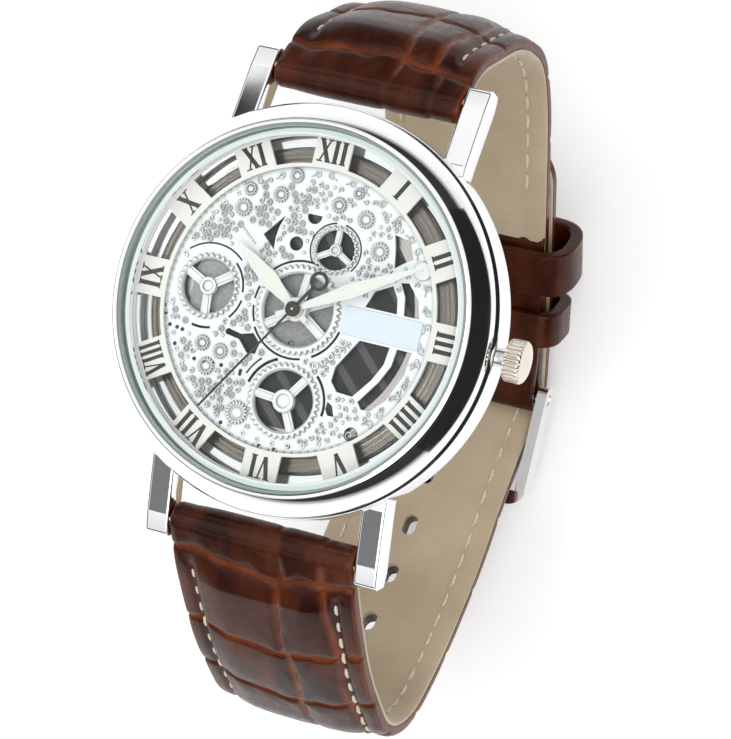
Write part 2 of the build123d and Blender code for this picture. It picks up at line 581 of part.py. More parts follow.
# ---- crown ----
def make_crown():
    """Fluted crown with a domed end and a recess over the tube."""
    recess = CROWN_INNER_X + CROWN_RECESS_DEPTH
    with BuildSketch(Plane.XZ) as outline:
        with BuildLine():
            Polyline((CROWN_INNER_X, STEM_Z + CROWN_RECESS_RADIUS),
                     (CROWN_INNER_X, STEM_Z + CROWN_RADIUS - 0.25),
                     (CROWN_INNER_X + 0.25, STEM_Z + CROWN_RADIUS),
                     (CROWN_OUTER_X - 0.55, STEM_Z + CROWN_RADIUS),
                     (CROWN_OUTER_X - 0.3, STEM_Z + CROWN_RADIUS - 0.3))
            ThreePointArc((CROWN_OUTER_X - 0.3, STEM_Z + CROWN_RADIUS - 0.3),
                          (CROWN_OUTER_X - 0.08, STEM_Z + 0.95), (CROWN_OUTER_X, STEM_Z + CROWN_FLAT_RADIUS))
            Polyline((CROWN_OUTER_X, STEM_Z + CROWN_FLAT_RADIUS), (CROWN_OUTER_X, STEM_Z),
                     (recess, STEM_Z), (recess, STEM_Z + CROWN_RECESS_RADIUS),
                     (CROWN_INNER_X, STEM_Z + CROWN_RECESS_RADIUS))
        make_face()
    turned_body = revolve(outline.sketch, Axis((0, 0, STEM_Z), (1, 0, 0)))
    fluted = Circle(CROWN_RADIUS + FLUTE_RADIUS)
    step = 360 / CROWN_FLUTES
    for flute in range(CROWN_FLUTES):
        x, y = polar(CROWN_RADIUS + FLUTE_RADIUS / 2, (flute + 0.5) * step)
        fluted -= Pos(x, y) * Circle(FLUTE_RADIUS)
    plane = Plane(origin=(CROWN_INNER_X - 1, 0, STEM_Z), x_dir=(0, 1, 0), z_dir=(1, 0, 0))
    return turned_body & extrude(plane * fluted, CROWN_OUTER_X - CROWN_INNER_X + 2)


def make_stem():
    """Stem with the setting groove and the square that drives the sliding pinion."""
    stem = rod_x(STEM_RADIUS, 7.7, CROWN_INNER_X + CROWN_RECESS_DEPTH, 0, STEM_Z)
    stem += block(5.4, 7.7, -SQUARE_HALF, SQUARE_HALF, STEM_Z - SQUARE_HALF, STEM_Z + SQUARE_HALF)
    groove = rod_x(STEM_RADIUS + 0.2, 9.15, 10.05, 0, STEM_Z) - rod_x(0.22, 9, 10.2, 0, STEM_Z)
    return stem - groove


def make_sliding_pinion():
    """Pinion that the stem's square turns and slides through."""
    pinion = rod_x(PINION_RADIUS, 5.8, 7.4, 0, STEM_Z)
    for tooth in range(10):
        y, z = polar(PINION_RADIUS + 0.02, 36 * tooth)
        pinion -= rod_x(0.14, 5.7, 6.4, y, STEM_Z + z)
    hole = SQUARE_HALF + 0.03
    return pinion - block(5, 8, -hole, hole, STEM_Z - hole, STEM_Z + hole)


def make_lever():
    """Setting lever: turns on a post, with a pin in the stem's groove."""
    plate = trace(Line(LEVER_PIVOT, (GROOVE_X, 0)), 0.7) + Pos(*LEVER_PIVOT) * Circle(0.62)
    plate += Pos(GROOVE_X, 0) * Circle(0.4)
    lever = extrude(Plane.XY.offset(4.42) * plate, 0.2)
    lever += disc(0.25, 4.17, 4.42, (GROOVE_X, 0))
    return lever - disc(0.38, 4, 5, LEVER_PIVOT)


# ---- strap ----
# Outer line of each half in the (Y, Z) plane, from the spring bar to the buckle.
UPPER_LINE = [(23.73, 1.44), (28.0, -2.2), (32.4, -14.2), (31.7, -23.3), (26.6, -29.3), (7.5, -43.9),
              (-2.92, -49.69)]
LOWER_LINE = [(-23.73, 1.44), (-27.5, -2.0), (-35.4, -11.2), (-41.7, -22.8), (-40.4, -30.9),
              (-33.6, -37.3), (-24.0, -43.3), (-14.5, -46.7), (-3.6, -52.6), (8.68, -45.7), (25.0, -33.2)]
PIN_CORNER = (-3.6, -52.6)
PIN_CORNER_RADIUS = 3.75
FOLD_END_Y = 14.3
BUCKLE_EYE_RADIUS = 1.6
SLEEVE_RADIUS = 0.9
TONGUE_TILT = 9.0
TIP_LENGTH = 7.0
TUNNEL_WIDTH = 2.5
TUNNEL_HEIGHT = 1.6
# keepers: width along the strap, then width, height and corner radius outside and inside
FIXED_KEEPER = (4.0, (22.4, 7.2, 2.0), (19.6, 5.15, 1.0))
SLIDING_KEEPER = (5.2, (24.8, 8.3, 2.8), (22.0, 5.7, 1.8))
# buckle holes: (run of the long half's line, distance along it)
HOLE_LENGTH = 2.4
HOLE_WIDTH = 1.5
HOLE_PLACES = ((5, 1.7), (5, 8.0), (6, 3.2), (6, 9.4), (8, 3.2), (8, 9.5))


def unit(start, end):
    """Direction between two points."""
    length = math.dist(start, end)
    return ((end[0] - start[0]) / length, (end[1] - start[1]) / length)


def strap_line(points, inset, clockwise):
    """A strap line moved inwards by inset, whose tangent arcs stay concentric with the outer ones."""
    side = 1 if clockwise else -1
    runs = [unit(points[i], points[i + 1]) for i in range(len(points) - 1)]
    normals = [(side * run[1], -side * run[0]) for run in runs]
    normals = [normals[0]] + normals + [normals[-1]]
    moved = []
    radii = []
    for index, point in enumerate(points):
        before, after = normals[index], normals[index + 1]
        scale = inset / (1 + before[0] * after[0] + before[1] * after[1])
        moved.append((point[0] + scale * (before[0] + after[0]), point[1] + scale * (before[1] + after[1])))
        if 0 < index < len(points) - 1:
            first, second = runs[index - 1], runs[index]
            turn = math.atan2(first[1] * second[0] - first[0] * second[1],
                              first[0] * second[0] + first[1] * second[1])
            shorter = min(math.dist(points[index - 1], point), math.dist(point, points[index + 1]))
            radius = 0.45 * shorter / math.tan(abs(turn) / 2)
            if point == PIN_CORNER:
                radius = PIN_CORNER_RADIUS
            radii.append(radius - math.copysign(inset, turn * side))
    return FilletPolyline(*moved, radius=radii)


def band(points, clockwise, outer, inner):
    """A strap layer between two insets, as wide as the strap, narrowing towards the buckle."""
    near = strap_line(points, outer, clockwise)
    far = strap_line(points, inner, clockwise)
    face = make_face([near, Line(near @ 1, far @ 1), far, Line(far @ 0, near @ 0)])
    return extrude(Plane.YZ * face, 12, both=True) & strap_width()


def strap_width():
    """The space that the strap's width fills, narrower towards the buckle."""
    low, high = STRAP_HALF_WIDTH_LOW, STRAP_HALF_WIDTH
    face = make_face(Polyline((-high, 5), (-high, 0), (-low, STRAP_LOW_Z), (-low, -BEYOND), (low, -BEYOND),
                              (low, STRAP_LOW_Z), (high, 0), (high, 5), close=True))
    return extrude(Plane.XZ * face, BEYOND, both=True)


def eye(radius, y, z):
    """The round end of a strap that wraps a bar."""
    return rod_x(radius, -12, 12, y, z) & strap_width()


def tongue_bar(width, height, angle, near, far):
    """A straight bar from the buckle pin, angle degrees away from the tongue's rest line."""
    bar = Pos(0, -(near + far) / 2, 0) * Box(width, far - near, height)
    return Pos(0, BUCKLE_PIN_Y, BUCKLE_PIN_Z) * Rot(TONGUE_TILT + angle, 0, 0) * bar


def make_strap_12():
    """Short half: outer leather with both eyes and its fold-back, and the lining."""
    leather = band(UPPER_LINE, True, 0, LEATHER_THICKNESS)
    fold = band(UPPER_LINE, True, LEATHER_THICKNESS, LEATHER_THICKNESS + FOLD_THICKNESS)
    low_end = block(-15, 15, -10, FOLD_END_Y, -BEYOND, -20)
    leather += fold & low_end
    leather += eye(STRAP_EYE_RADIUS, BAR_Y, BAR_Z) + eye(BUCKLE_EYE_RADIUS, BUCKLE_PIN_Y, BUCKLE_PIN_Z)
    leather -= rod_x(SLEEVE_RADIUS + 0.05, -12, 12, BAR_Y, BAR_Z)
    leather -= rod_x(PIN_RADIUS + 0.06, -12, 12, BUCKLE_PIN_Y, BUCKLE_PIN_Z)
    leather -= block(-1.3, 1.3, BUCKLE_PIN_Y - 2, BUCKLE_PIN_Y + 1.75, BUCKLE_PIN_Z - 2, BUCKLE_PIN_Z + 2)
    lining = band(UPPER_LINE, True, LEATHER_THICKNESS, STRAP_THICKNESS)
    lining -= block(-15, 15, -10, FOLD_END_Y + 0.1, -BEYOND, -20)
    lining -= eye(STRAP_EYE_RADIUS, BAR_Y, BAR_Z)
    return leather, lining


def make_strap_6():
    """Long half: leather and lining with a rounded tip, buckle holes and the hole that the tongue fills."""
    leather = band(LOWER_LINE, False, 0, LEATHER_THICKNESS)
    lining = band(LOWER_LINE, False, LEATHER_THICKNESS, STRAP_THICKNESS)
    leather += eye(STRAP_EYE_RADIUS, -BAR_Y, BAR_Z)
    leather -= rod_x(SLEEVE_RADIUS + 0.05, -12, 12, -BAR_Y, BAR_Z)
    lining -= eye(STRAP_EYE_RADIUS, -BAR_Y, BAR_Z)
    cutters = [tongue_bar(TUNNEL_WIDTH, TUNNEL_HEIGHT, angle, 1.5, 13.5) for angle in (0, 2, 4, 6, 8)]
    cutters += strap_holes() + [tip_cutter()]
    for cutter in cutters:
        leather -= cutter
        lining -= cutter
    return leather, lining


def strap_frame(line, run, distance):
    """A plane on one run of a strap line, with X across the strap and Y along it."""
    start, end = line[run], line[run + 1]
    along_y, along_z = unit(start, end)
    origin = (0, start[0] + distance * along_y, start[1] + distance * along_z)
    return Plane(origin=origin, x_dir=(1, 0, 0), z_dir=(0, -along_z, along_y))


def strap_holes():
    """Oval buckle holes on the long half, evenly spaced along it."""
    holes = []
    for run, distance in HOLE_PLACES:
        oval = SlotOverall(HOLE_LENGTH, HOLE_WIDTH)
        plane = strap_frame(LOWER_LINE, run, distance)
        holes.append(extrude(plane * Rot(0, 0, 90) * oval, 4, both=True))
    return holes


def tip_cutter():
    """Takes the corners off the long half's end, to leave a rounded tip."""
    run = len(LOWER_LINE) - 2
    length = math.dist(LOWER_LINE[run], LOWER_LINE[run + 1])
    plane = strap_frame(LOWER_LINE, run, length - TIP_LENGTH)
    corners = Pos(0, TIP_LENGTH) * Rectangle(26, 2 * TIP_LENGTH) - Ellipse(9.2, TIP_LENGTH)
    return extrude(plane * corners, 4, both=True)


def keeper(line, run, distance, width, outside, inside):
    """A leather loop round both strap halves."""
    start, end = line[run], line[run + 1]
    along_y, along_z = unit(start, end)
    origin = (0, start[0] + distance * along_y, start[1] + distance * along_z)
    plane = Plane(origin=origin, x_dir=(1, 0, 0), z_dir=(0, along_y, along_z))
    ring = RectangleRounded(outside[0], outside[1], outside[2])
    ring -= RectangleRounded(inside[0], inside[1], inside[2])
    return extrude(plane * ring, width / 2, both=True)


# ---- buckle ----
def make_buckle_frame():
    """Pin buckle frame: two side arms and a round-edged free bar."""
    half = BUCKLE_HALF_WIDTH
    outer = block(-half, half, BUCKLE_FREE_Y, BUCKLE_PIN_Y + 1.4, BUCKLE_PIN_Z - BUCKLE_HALF_HEIGHT,
                  BUCKLE_PIN_Z + BUCKLE_HALF_HEIGHT)
    upright = outer.edges().filter_by(Axis.Z).group_by(Axis.Y)[0]
    outer = fillet(upright, 2.0)
    inside = half - BUCKLE_WALL
    bar_edge = BUCKLE_FREE_Y + FREE_BAR_WIDTH
    outer -= block(-inside, inside, bar_edge, 5, -BEYOND, 0)
    outer -= block(-half, half, BUCKLE_FREE_Y - 1, bar_edge + 0.01, BUCKLE_PIN_Z + 0.75, 0)
    outer -= block(-half, half, BUCKLE_FREE_Y - 1, bar_edge + 0.01, -BEYOND, BUCKLE_PIN_Z - 1.05)
    ends = outer.edges().filter_by(Axis.X).group_by(Axis.Y)[-1]
    outer = fillet(ends, 1.0)
    return outer - rod_x(PIN_RADIUS + 0.03, -12, 12, BUCKLE_PIN_Y, BUCKLE_PIN_Z)


def make_buckle_pin():
    """The bar that carries the frame and the tongue."""
    reach = BUCKLE_HALF_WIDTH - 0.1
    return rod_x(PIN_RADIUS, -reach, reach, BUCKLE_PIN_Y, BUCKLE_PIN_Z)


def make_tongue():
    """Buckle tongue: a loop round the pin and a bar that ends under the free bar."""
    half = TONGUE_WIDTH / 2
    tongue = tongue_bar(TONGUE_WIDTH, TONGUE_THICKNESS, 0, 0.9, TONGUE_END)
    tongue += rod_x(TONGUE_LOOP_RADIUS, -half, half, BUCKLE_PIN_Y, BUCKLE_PIN_Z)
    return tongue - rod_x(PIN_RADIUS + 0.05, -2, 2, BUCKLE_PIN_Y, BUCKLE_PIN_Z)


# ---- spring bars ----
def make_spring_bar(y):
    """Sleeve, inner spring and both end pins of one spring bar."""
    inside = SLEEVE_HALF_LENGTH - 0.5
    sleeve = rod_x(SLEEVE_RADIUS, -SLEEVE_HALF_LENGTH, SLEEVE_HALF_LENGTH, y, BAR_Z)
    sleeve -= rod_x(SLEEVE_BORE, -inside, inside, y, BAR_Z)
    sleeve -= rod_x(BAR_PIN_RADIUS + 0.04, -9, 9, y, BAR_Z)
    pin = rod_x(BAR_PIN_RADIUS, 8.2, 11.2, y, BAR_Z) + rod_x(BAR_PIN_HEAD, 7.3, 8.2, y, BAR_Z)
    path = Helix(pitch=1.0, height=SPRING_LENGTH, radius=SPRING_RADIUS)
    wire = sweep(Plane(origin=path @ 0, z_dir=path % 0) * Circle(SPRING_WIRE), path=path)
    spring = Pos(-SPRING_LENGTH / 2, y, BAR_Z) * Rot(0, 90, 0) * wire
    return sleeve, spring, pin, mirror(pin, Plane.YZ)


def main():
    save(make_case_middle(), "case_middle")
    save(make_bezel(), "bezel")
    save(make_crystal(), "crystal")
    save(tube(CRYSTAL_RADIUS + 0.24, CRYSTAL_RADIUS + 0.01, 7.27, 8.3), "crystal_gasket")
    save(make_flange(), "flange_ring")
    save(make_case_back(), "case_back")
    save(tube(16.95, 16.2, BACK_THICKNESS, BACK_THICKNESS + 0.38), "case_back_gasket")
    save(make_holder(), "movement_holder")
    save(make_dial(), "dial")
    save(make_name_plate(), "name_plate")
    save(make_hour_ring(), "hour_ring")
    hour_hand, hour_inlay = make_hand(**HOUR_HAND, bore=HOUR_TUBE, bottom=HOUR_HAND_Z, angle=HOUR_ANGLE)
    minute_hand, minute_inlay = make_hand(**MINUTE_HAND, bore=MINUTE_TUBE, bottom=MINUTE_HAND_Z,
                                          angle=MINUTE_ANGLE)
    save(hour_hand, "hour_hand")
    save(hour_inlay, "hour_hand_inlay")
    save(minute_hand, "minute_hand")
    save(minute_inlay, "minute_hand_inlay")
    save(make_second_hand(), "second_hand")
    for name, wheel in make_train().items():
        save(wheel, name)
    save(make_main_plate(), "main_plate")
    save(make_cover_plate(), "cover_plate")
    save(make_bridge(), "train_bridge")
    save(make_screws(), "movement_screws")
    save(make_stator(), "stator")
    core, winding = make_coil()
    save(core, "coil_core")
    save(winding, "coil")
    save(make_board(), "circuit_board")
    save(rod_x(CAN_RADIUS, 0.8, 4.0, 8.6, 1.52), "quartz_can")
    save(disc(BATTERY_RADIUS, 1.25, 3.7, BATTERY), "battery")
    clip = along(polar(4.6, -80), polar(9.9, -50), 1.4, 0.2, 1.02)
    save(clip, "battery_clip")
    save(make_crown(), "crown")
    save(make_stem(), "stem")
    save(make_sliding_pinion(), "sliding_pinion")
    save(make_lever(), "setting_lever")
    outside = rod_x(TUBE_RADIUS, TUBE_START_X, TUBE_END_X, 0, STEM_Z)
    save(outside - rod_x(TUBE_BORE, 16, 23, 0, STEM_Z), "crown_tube")
    gasket = rod_x(CROWN_RECESS_RADIUS - 0.01, GASKET_START_X, GASKET_END_X, 0, STEM_Z)
    gasket -= rod_x(TUBE_RADIUS + 0.03, 21, 22, 0, STEM_Z)
    save(gasket, "crown_gasket")
    leather, lining = make_strap_12()
    save(leather, "strap_12_leather")
    save(lining, "strap_12_lining")
    leather, lining = make_strap_6()
    save(leather, "strap_6_leather")
    save(lining, "strap_6_lining")
    save(keeper(UPPER_LINE, 5, 2.9, *FIXED_KEEPER), "fixed_keeper")
    save(keeper(UPPER_LINE, 4, 19.05, *SLIDING_KEEPER), "sliding_keeper")
    save(make_buckle_frame(), "buckle_frame")
    save(make_buckle_pin(), "buckle_pin")
    save(make_tongue(), "buckle_tongue")
    for half, y in ((12, BAR_Y), (6, -BAR_Y)):
        sleeve, spring, pin_right, pin_left = make_spring_bar(y)
        save(sleeve, f"spring_bar_{half}_sleeve")
        save(spring, f"spring_bar_{half}_spring")
        save(pin_right, f"spring_bar_{half}_pin_right")
        save(pin_left, f"spring_bar_{half}_pin_left")


main()
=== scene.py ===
import json
import math

import bmesh
import bpy
import numpy as np
from mathutils import Matrix, Vector
from mathutils.bvhtree import BVHTree


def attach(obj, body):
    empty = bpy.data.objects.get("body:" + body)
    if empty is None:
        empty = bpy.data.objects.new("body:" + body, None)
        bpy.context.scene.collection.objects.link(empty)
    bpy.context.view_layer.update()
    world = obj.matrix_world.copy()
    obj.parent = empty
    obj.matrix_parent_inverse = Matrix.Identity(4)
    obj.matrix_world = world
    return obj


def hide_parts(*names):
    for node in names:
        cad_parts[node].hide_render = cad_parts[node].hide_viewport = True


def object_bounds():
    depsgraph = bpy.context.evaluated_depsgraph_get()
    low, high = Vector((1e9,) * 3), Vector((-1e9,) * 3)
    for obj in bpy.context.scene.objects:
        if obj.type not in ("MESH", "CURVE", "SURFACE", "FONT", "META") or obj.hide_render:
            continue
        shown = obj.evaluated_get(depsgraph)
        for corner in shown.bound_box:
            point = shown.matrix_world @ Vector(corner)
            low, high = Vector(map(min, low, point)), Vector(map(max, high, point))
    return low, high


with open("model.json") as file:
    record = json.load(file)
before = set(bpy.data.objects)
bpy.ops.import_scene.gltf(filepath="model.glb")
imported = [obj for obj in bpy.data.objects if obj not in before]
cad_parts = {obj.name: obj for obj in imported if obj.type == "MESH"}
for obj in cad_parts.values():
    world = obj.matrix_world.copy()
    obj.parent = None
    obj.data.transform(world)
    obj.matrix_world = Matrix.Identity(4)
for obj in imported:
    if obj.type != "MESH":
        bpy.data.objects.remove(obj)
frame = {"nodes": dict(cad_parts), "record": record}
cad_low, cad_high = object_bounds()
nodes = frame["nodes"]
MM = 0.001

# ---------------------------------------------------------------- materials


class Nodes:
    """A node material with short calls to add and join nodes."""

    def __init__(self, name, color=(0.8, 0.8, 0.8), metallic=0.0, roughness=0.5):
        self.mat = bpy.data.materials.new(name)
        self.mat.use_nodes = True
        self.tree = self.mat.node_tree
        self.shader = self.tree.nodes["Principled BSDF"]
        self.set("Base Color", (*color, 1))
        self.set("Metallic", metallic)
        self.set("Roughness", roughness)

    def set(self, socket, value):
        self.shader.inputs[socket].default_value = value

    def add(self, kind, **values):
        node = self.tree.nodes.new(kind)
        for key, value in values.items():
            if key in node.inputs:
                node.inputs[key].default_value = value
            else:
                setattr(node, key, value)
        return node

    def join(self, out, socket):
        self.tree.links.new(out, socket)
        return out

    def coords(self, scale=(1, 1, 1), rotation=(0, 0, 0)):
        """Object coordinates in millimetres, scaled."""
        source = self.add("ShaderNodeTexCoord")
        mapping = self.add("ShaderNodeMapping")
        mapping.inputs["Scale"].default_value = [1000 * s for s in scale]
        mapping.inputs["Rotation"].default_value = rotation
        self.join(source.outputs["Object"], mapping.inputs["Vector"])
        return mapping.outputs["Vector"]

    def noise(self, scale, detail=4.0, coords=None, roughness=0.5):
        node = self.add("ShaderNodeTexNoise")
        node.inputs["Scale"].default_value = scale
        node.inputs["Detail"].default_value = detail
        node.inputs["Roughness"].default_value = roughness
        self.join(coords or self.coords(), node.inputs["Vector"])
        return node.outputs["Fac"]

    def ramp(self, fac, stops):
        node = self.add("ShaderNodeValToRGB")
        elements = node.color_ramp.elements
        while len(elements) < len(stops):
            elements.new(0.5)
        for element, (position, color) in zip(elements, stops):
            element.position = position
            element.color = (*color, 1) if len(color) == 3 else color
        self.join(fac, node.inputs["Fac"])
        return node.outputs["Color"]

    def grey_ramp(self, fac, low, high, start=0.3, end=0.7):
        return self.ramp(fac, [(start, (low,) * 3), (end, (high,) * 3)])

    def math(self, operation, first, second=0.5):
        node = self.add("ShaderNodeMath", operation=operation)
        for socket, value in zip(node.inputs, (first, second)):
            if isinstance(value, (int, float)):
                socket.default_value = value
            else:
                self.join(value, socket)
        return node.outputs["Value"]

    def mix(self, fac, first, second, blend="MIX"):
        node = self.add("ShaderNodeMix", data_type="RGBA", blend_type=blend)
        for socket, value in ((node.inputs[0], fac), (node.inputs[6], first), (node.inputs[7], second)):
            if isinstance(value, (int, float)):
                socket.default_value = value
            elif isinstance(value, tuple):
                socket.default_value = (*value, 1)
            else:
                self.join(value, socket)
        return node.outputs[2]

    def bump(self, height, strength=0.2, distance=0.05):
        """Bump from a height, distance in millimetres."""
        node = self.add("ShaderNodeBump")
        node.inputs["Strength"].default_value = strength
        node.inputs["Distance"].default_value = distance * MM
        self.join(height, node.inputs["Height"])
        previous = self.shader.inputs["Normal"]
        if previous.links:
            self.join(previous.links[0].from_socket, node.inputs["Normal"])
        self.join(node.outputs["Normal"], previous)


def polished(name, color, roughness=0.06, grain=0.05):
    """Polished metal with faint hairlines and smudges."""
    m = Nodes(name, color, 1.0, roughness)
    smudge = m.noise(0.16, 5.0)
    hair = m.noise(1.0, 3.0, m.coords((9, 0.5, 3)))
    m.join(m.grey_ramp(smudge, roughness * 0.6, roughness * 1.9), m.shader.inputs["Roughness"])
    m.join(m.mix(m.grey_ramp(smudge, 0.0, 0.22), color, tuple(c * 0.93 for c in color)),
           m.shader.inputs["Base Color"])
    m.bump(hair, grain, 0.004)
    return m.mat


def circular(name, color, roughness=0.25, rings=9.0, depth=0.35, second=None):
    """Metal turned about the watch's axis, with fine rings."""
    m = Nodes(name, color, 1.0, roughness)
    source = m.add("ShaderNodeTexCoord")
    split = m.add("ShaderNodeSeparateXYZ")
    m.join(source.outputs["Object"], split.inputs[0])
    square = m.math("ADD", m.math("POWER", split.outputs["X"], 2.0), m.math("POWER", split.outputs["Y"], 2.0))
    radius = m.math("MULTIPLY", m.math("SQRT", square), 1000.0)
    wave = m.add("ShaderNodeCombineXYZ")
    m.join(radius, wave.inputs["X"])
    lines = m.noise(rings, 4.0, wave.outputs[0], 0.7)
    m.join(m.grey_ramp(lines, roughness * 0.6, roughness * 1.4), m.shader.inputs["Roughness"])
    m.join(m.mix(m.grey_ramp(lines, 0.0, 0.75), color, second or tuple(c * 0.72 for c in color)),
           m.shader.inputs["Base Color"])
    m.bump(lines, depth, 0.03)
    return m.mat


def satin(name, color, roughness=0.35, metallic=0.0, speckle=0.1, grain=40.0, bump=0.1):
    """Painted or plated surface with fine grain."""
    m = Nodes(name, color, metallic, roughness)
    fine = m.noise(grain / 10, 6.0, None, 0.65)
    broad = m.noise(0.25, 3.0)
    m.join(m.grey_ramp(fine, roughness * 0.8, min(1.0, roughness * 1.25)), m.shader.inputs["Roughness"])
    tint = m.mix(m.grey_ramp(broad, 0.0, 0.6), color, tuple(c * (1 - speckle) for c in color))
    m.join(tint, m.shader.inputs["Base Color"])
    m.bump(fine, bump, 0.01)
    return m.mat


def clear_glass(name, tint):
    """Mineral glass: mostly clear, glossier edge-on; the same from both sides, so it never goes opaque."""
    m = Nodes(name, tint, 0.0, 0.02)
    clear = m.add("ShaderNodeBsdfTransparent")
    clear.inputs["Color"].default_value = (*tint, 1)
    gloss = m.add("ShaderNodeBsdfGlossy")
    gloss.inputs["Color"].default_value = (1, 1, 1, 1)
    smudge = m.grey_ramp(m.noise(0.12, 4.0), 0.012, 0.035)
    m.join(smudge, gloss.inputs["Roughness"])
    edge_on = m.add("ShaderNodeLayerWeight")
    edge_on.inputs["Blend"].default_value = 0.5
    share = m.math("MULTIPLY", m.math("POWER", edge_on.outputs["Facing"], 5.0), 0.9)
    mixer = m.add("ShaderNodeMixShader")
    m.join(m.math("ADD", share, 0.013), mixer.inputs[0])
    m.join(clear.outputs[0], mixer.inputs[1])
    m.join(gloss.outputs[0], mixer.inputs[2])
    m.join(mixer.outputs[0], m.tree.nodes["Material Output"].inputs["Surface"])
    return m.mat


def leather(name):
    """Glossy pressed leather: dark scales, rust-coloured grooves, fine grain."""
    m = Nodes(name, (0.1, 0.03, 0.015), 0.0, 0.3)
    line = m.add("ShaderNodeAttribute", attribute_name="groove")
    broad = m.noise(0.11, 4.0)
    streak = m.noise(0.35, 5.0, m.coords((1.0, 0.45, 0.45)))
    scales = m.ramp(broad, [(0.3, (0.012, 0.0022, 0.0012)), (0.55, (0.040, 0.0075, 0.0030)),
                            (0.75, (0.095, 0.0215, 0.0065))])
    scales = m.mix(m.grey_ramp(streak, 0.0, 0.65, 0.42, 0.75), scales, (0.115, 0.027, 0.009))
    rust = m.mix(m.noise(0.5), (0.26, 0.058, 0.012), (0.12, 0.026, 0.008))
    fade = m.math("MULTIPLY", line.outputs["Fac"], m.grey_ramp(m.noise(0.2), 0.35, 1.0, 0.35, 0.6))
    m.join(m.mix(fade, scales, rust), m.shader.inputs["Base Color"])
    grain = m.add("ShaderNodeTexVoronoi", feature="DISTANCE_TO_EDGE")
    grain.inputs["Scale"].default_value = 2.6
    m.join(m.coords(), grain.inputs["Vector"])
    pores = m.grey_ramp(grain.outputs["Distance"], 0.0, 1.0, 0.0, 0.12)
    crease = m.noise(1.6, 6.0, None, 0.6)
    m.join(m.grey_ramp(crease, 0.22, 0.40), m.shader.inputs["Roughness"])
    m.set("Specular IOR Level", 0.1)
    m.set("Coat Weight", 0.16)
    m.set("Coat Roughness", 0.12)
    m.bump(pores, 0.2, 0.02)
    m.bump(crease, 0.45, 0.06)
    return m.mat


def lining_cloth(name):
    """Pale lining with a fine woven grain."""
    m = Nodes(name, (0.62, 0.54, 0.42), 0.0, 0.75)
    weave = m.add("ShaderNodeTexWave", wave_type="BANDS", bands_direction="X")
    weave.inputs["Scale"].default_value = 1.1
    weave.inputs["Distortion"].default_value = 1.2
    m.join(m.coords(), weave.inputs["Vector"])
    cross = m.noise(2.6, 5.0, m.coords((0.4, 1.5, 1.5)))
    threads = m.math("MULTIPLY", weave.outputs["Fac"], cross)
    broad = m.noise(0.14, 4.0)
    cloth = m.mix(m.grey_ramp(broad, 0.0, 0.8), (0.57, 0.465, 0.325), (0.46, 0.36, 0.24))
    m.join(m.mix(m.grey_ramp(threads, 0.0, 0.35, 0.2, 0.6), cloth, (0.36, 0.285, 0.185)),
           m.shader.inputs["Base Color"])
    m.join(m.grey_ramp(cross, 0.62, 0.85), m.shader.inputs["Roughness"])
    m.set("Sheen Weight", 0.2)
    m.bump(threads, 0.35, 0.05)
    return m.mat


def dial_look(name, color):
    """Pale silvered dial with painted shade: darker in the corners of its relief and on the relief's steep sides."""
    m = Nodes(name, color, 0.15, 0.36)
    fine = m.noise(6.0, 6.0, None, 0.65)
    # Painted shade: an ambient-occlusion ramp darkens the colour in the corners round the relief.
    corners = m.add("ShaderNodeAmbientOcclusion", samples=8)
    corners.inputs["Distance"].default_value = 0.6 * MM
    shade = m.ramp(corners.outputs["AO"], [(0.3, tuple(c * 0.30 for c in color)), (0.90, color)])
    # Painted shade: faces that lean away from straight up are multiplied darker, giving a painted dark outline round
    # each piece of relief.
    facing = m.add("ShaderNodeSeparateXYZ")
    m.join(m.add("ShaderNodeTexCoord").outputs["Normal"], facing.inputs[0])
    painted_side_shade = m.ramp(facing.outputs["Z"], [(0.45, (0.34, 0.355, 0.36)), (0.93, (1.0, 1.0, 1.0))])
    shade = m.mix(1.0, shade, painted_side_shade, "MULTIPLY")
    m.join(m.mix(m.grey_ramp(m.noise(0.3), 0.0, 0.35), shade, tuple(c * 0.86 for c in color)),
           m.shader.inputs["Base Color"])
    m.join(m.grey_ramp(fine, 0.28, 0.45), m.shader.inputs["Roughness"])
    m.bump(fine, 0.15, 0.01)
    return m.mat


def movement_look(name):
    """Dark grey plate with fine ribs, and lighter round bosses behind two of the dial's wheels."""
    m = Nodes(name, (0.05, 0.05, 0.052), 0.3, 0.42)
    ribs = m.add("ShaderNodeTexWave", wave_type="BANDS", bands_direction="DIAGONAL")
    ribs.inputs["Scale"].default_value = 0.16
    m.join(m.coords(), ribs.inputs["Vector"])
    plate = m.mix(m.grey_ramp(ribs.outputs["Fac"], 0.0, 1.0, 0.75, 0.9), (0.012, 0.012, 0.013), (0.09, 0.09, 0.09))
    split = m.add("ShaderNodeSeparateXYZ")
    m.join(m.coords(), split.inputs[0])
    for (x, y), radius, level in (((0.0, 0.0), 3.7, 0.34), ((-9.65, 0.3), 2.9, 0.40)):
        across = m.math("POWER", m.math("SUBTRACT", split.outputs["X"], x), 2.0)
        along = m.math("POWER", m.math("SUBTRACT", split.outputs["Y"], y), 2.0)
        inside = m.math("LESS_THAN", m.math("SQRT", m.math("ADD", across, along)), radius)
        plate = m.mix(inside, plate, (level, level, level * 0.98))
    fine = m.noise(3.0, 5.0)
    m.join(m.mix(m.grey_ramp(fine, 0.0, 0.3), plate, (0.03, 0.03, 0.03)), m.shader.inputs["Base Color"])
    m.join(m.grey_ramp(fine, 0.34, 0.55), m.shader.inputs["Roughness"])
    m.bump(fine, 0.2, 0.015)
    return m.mat


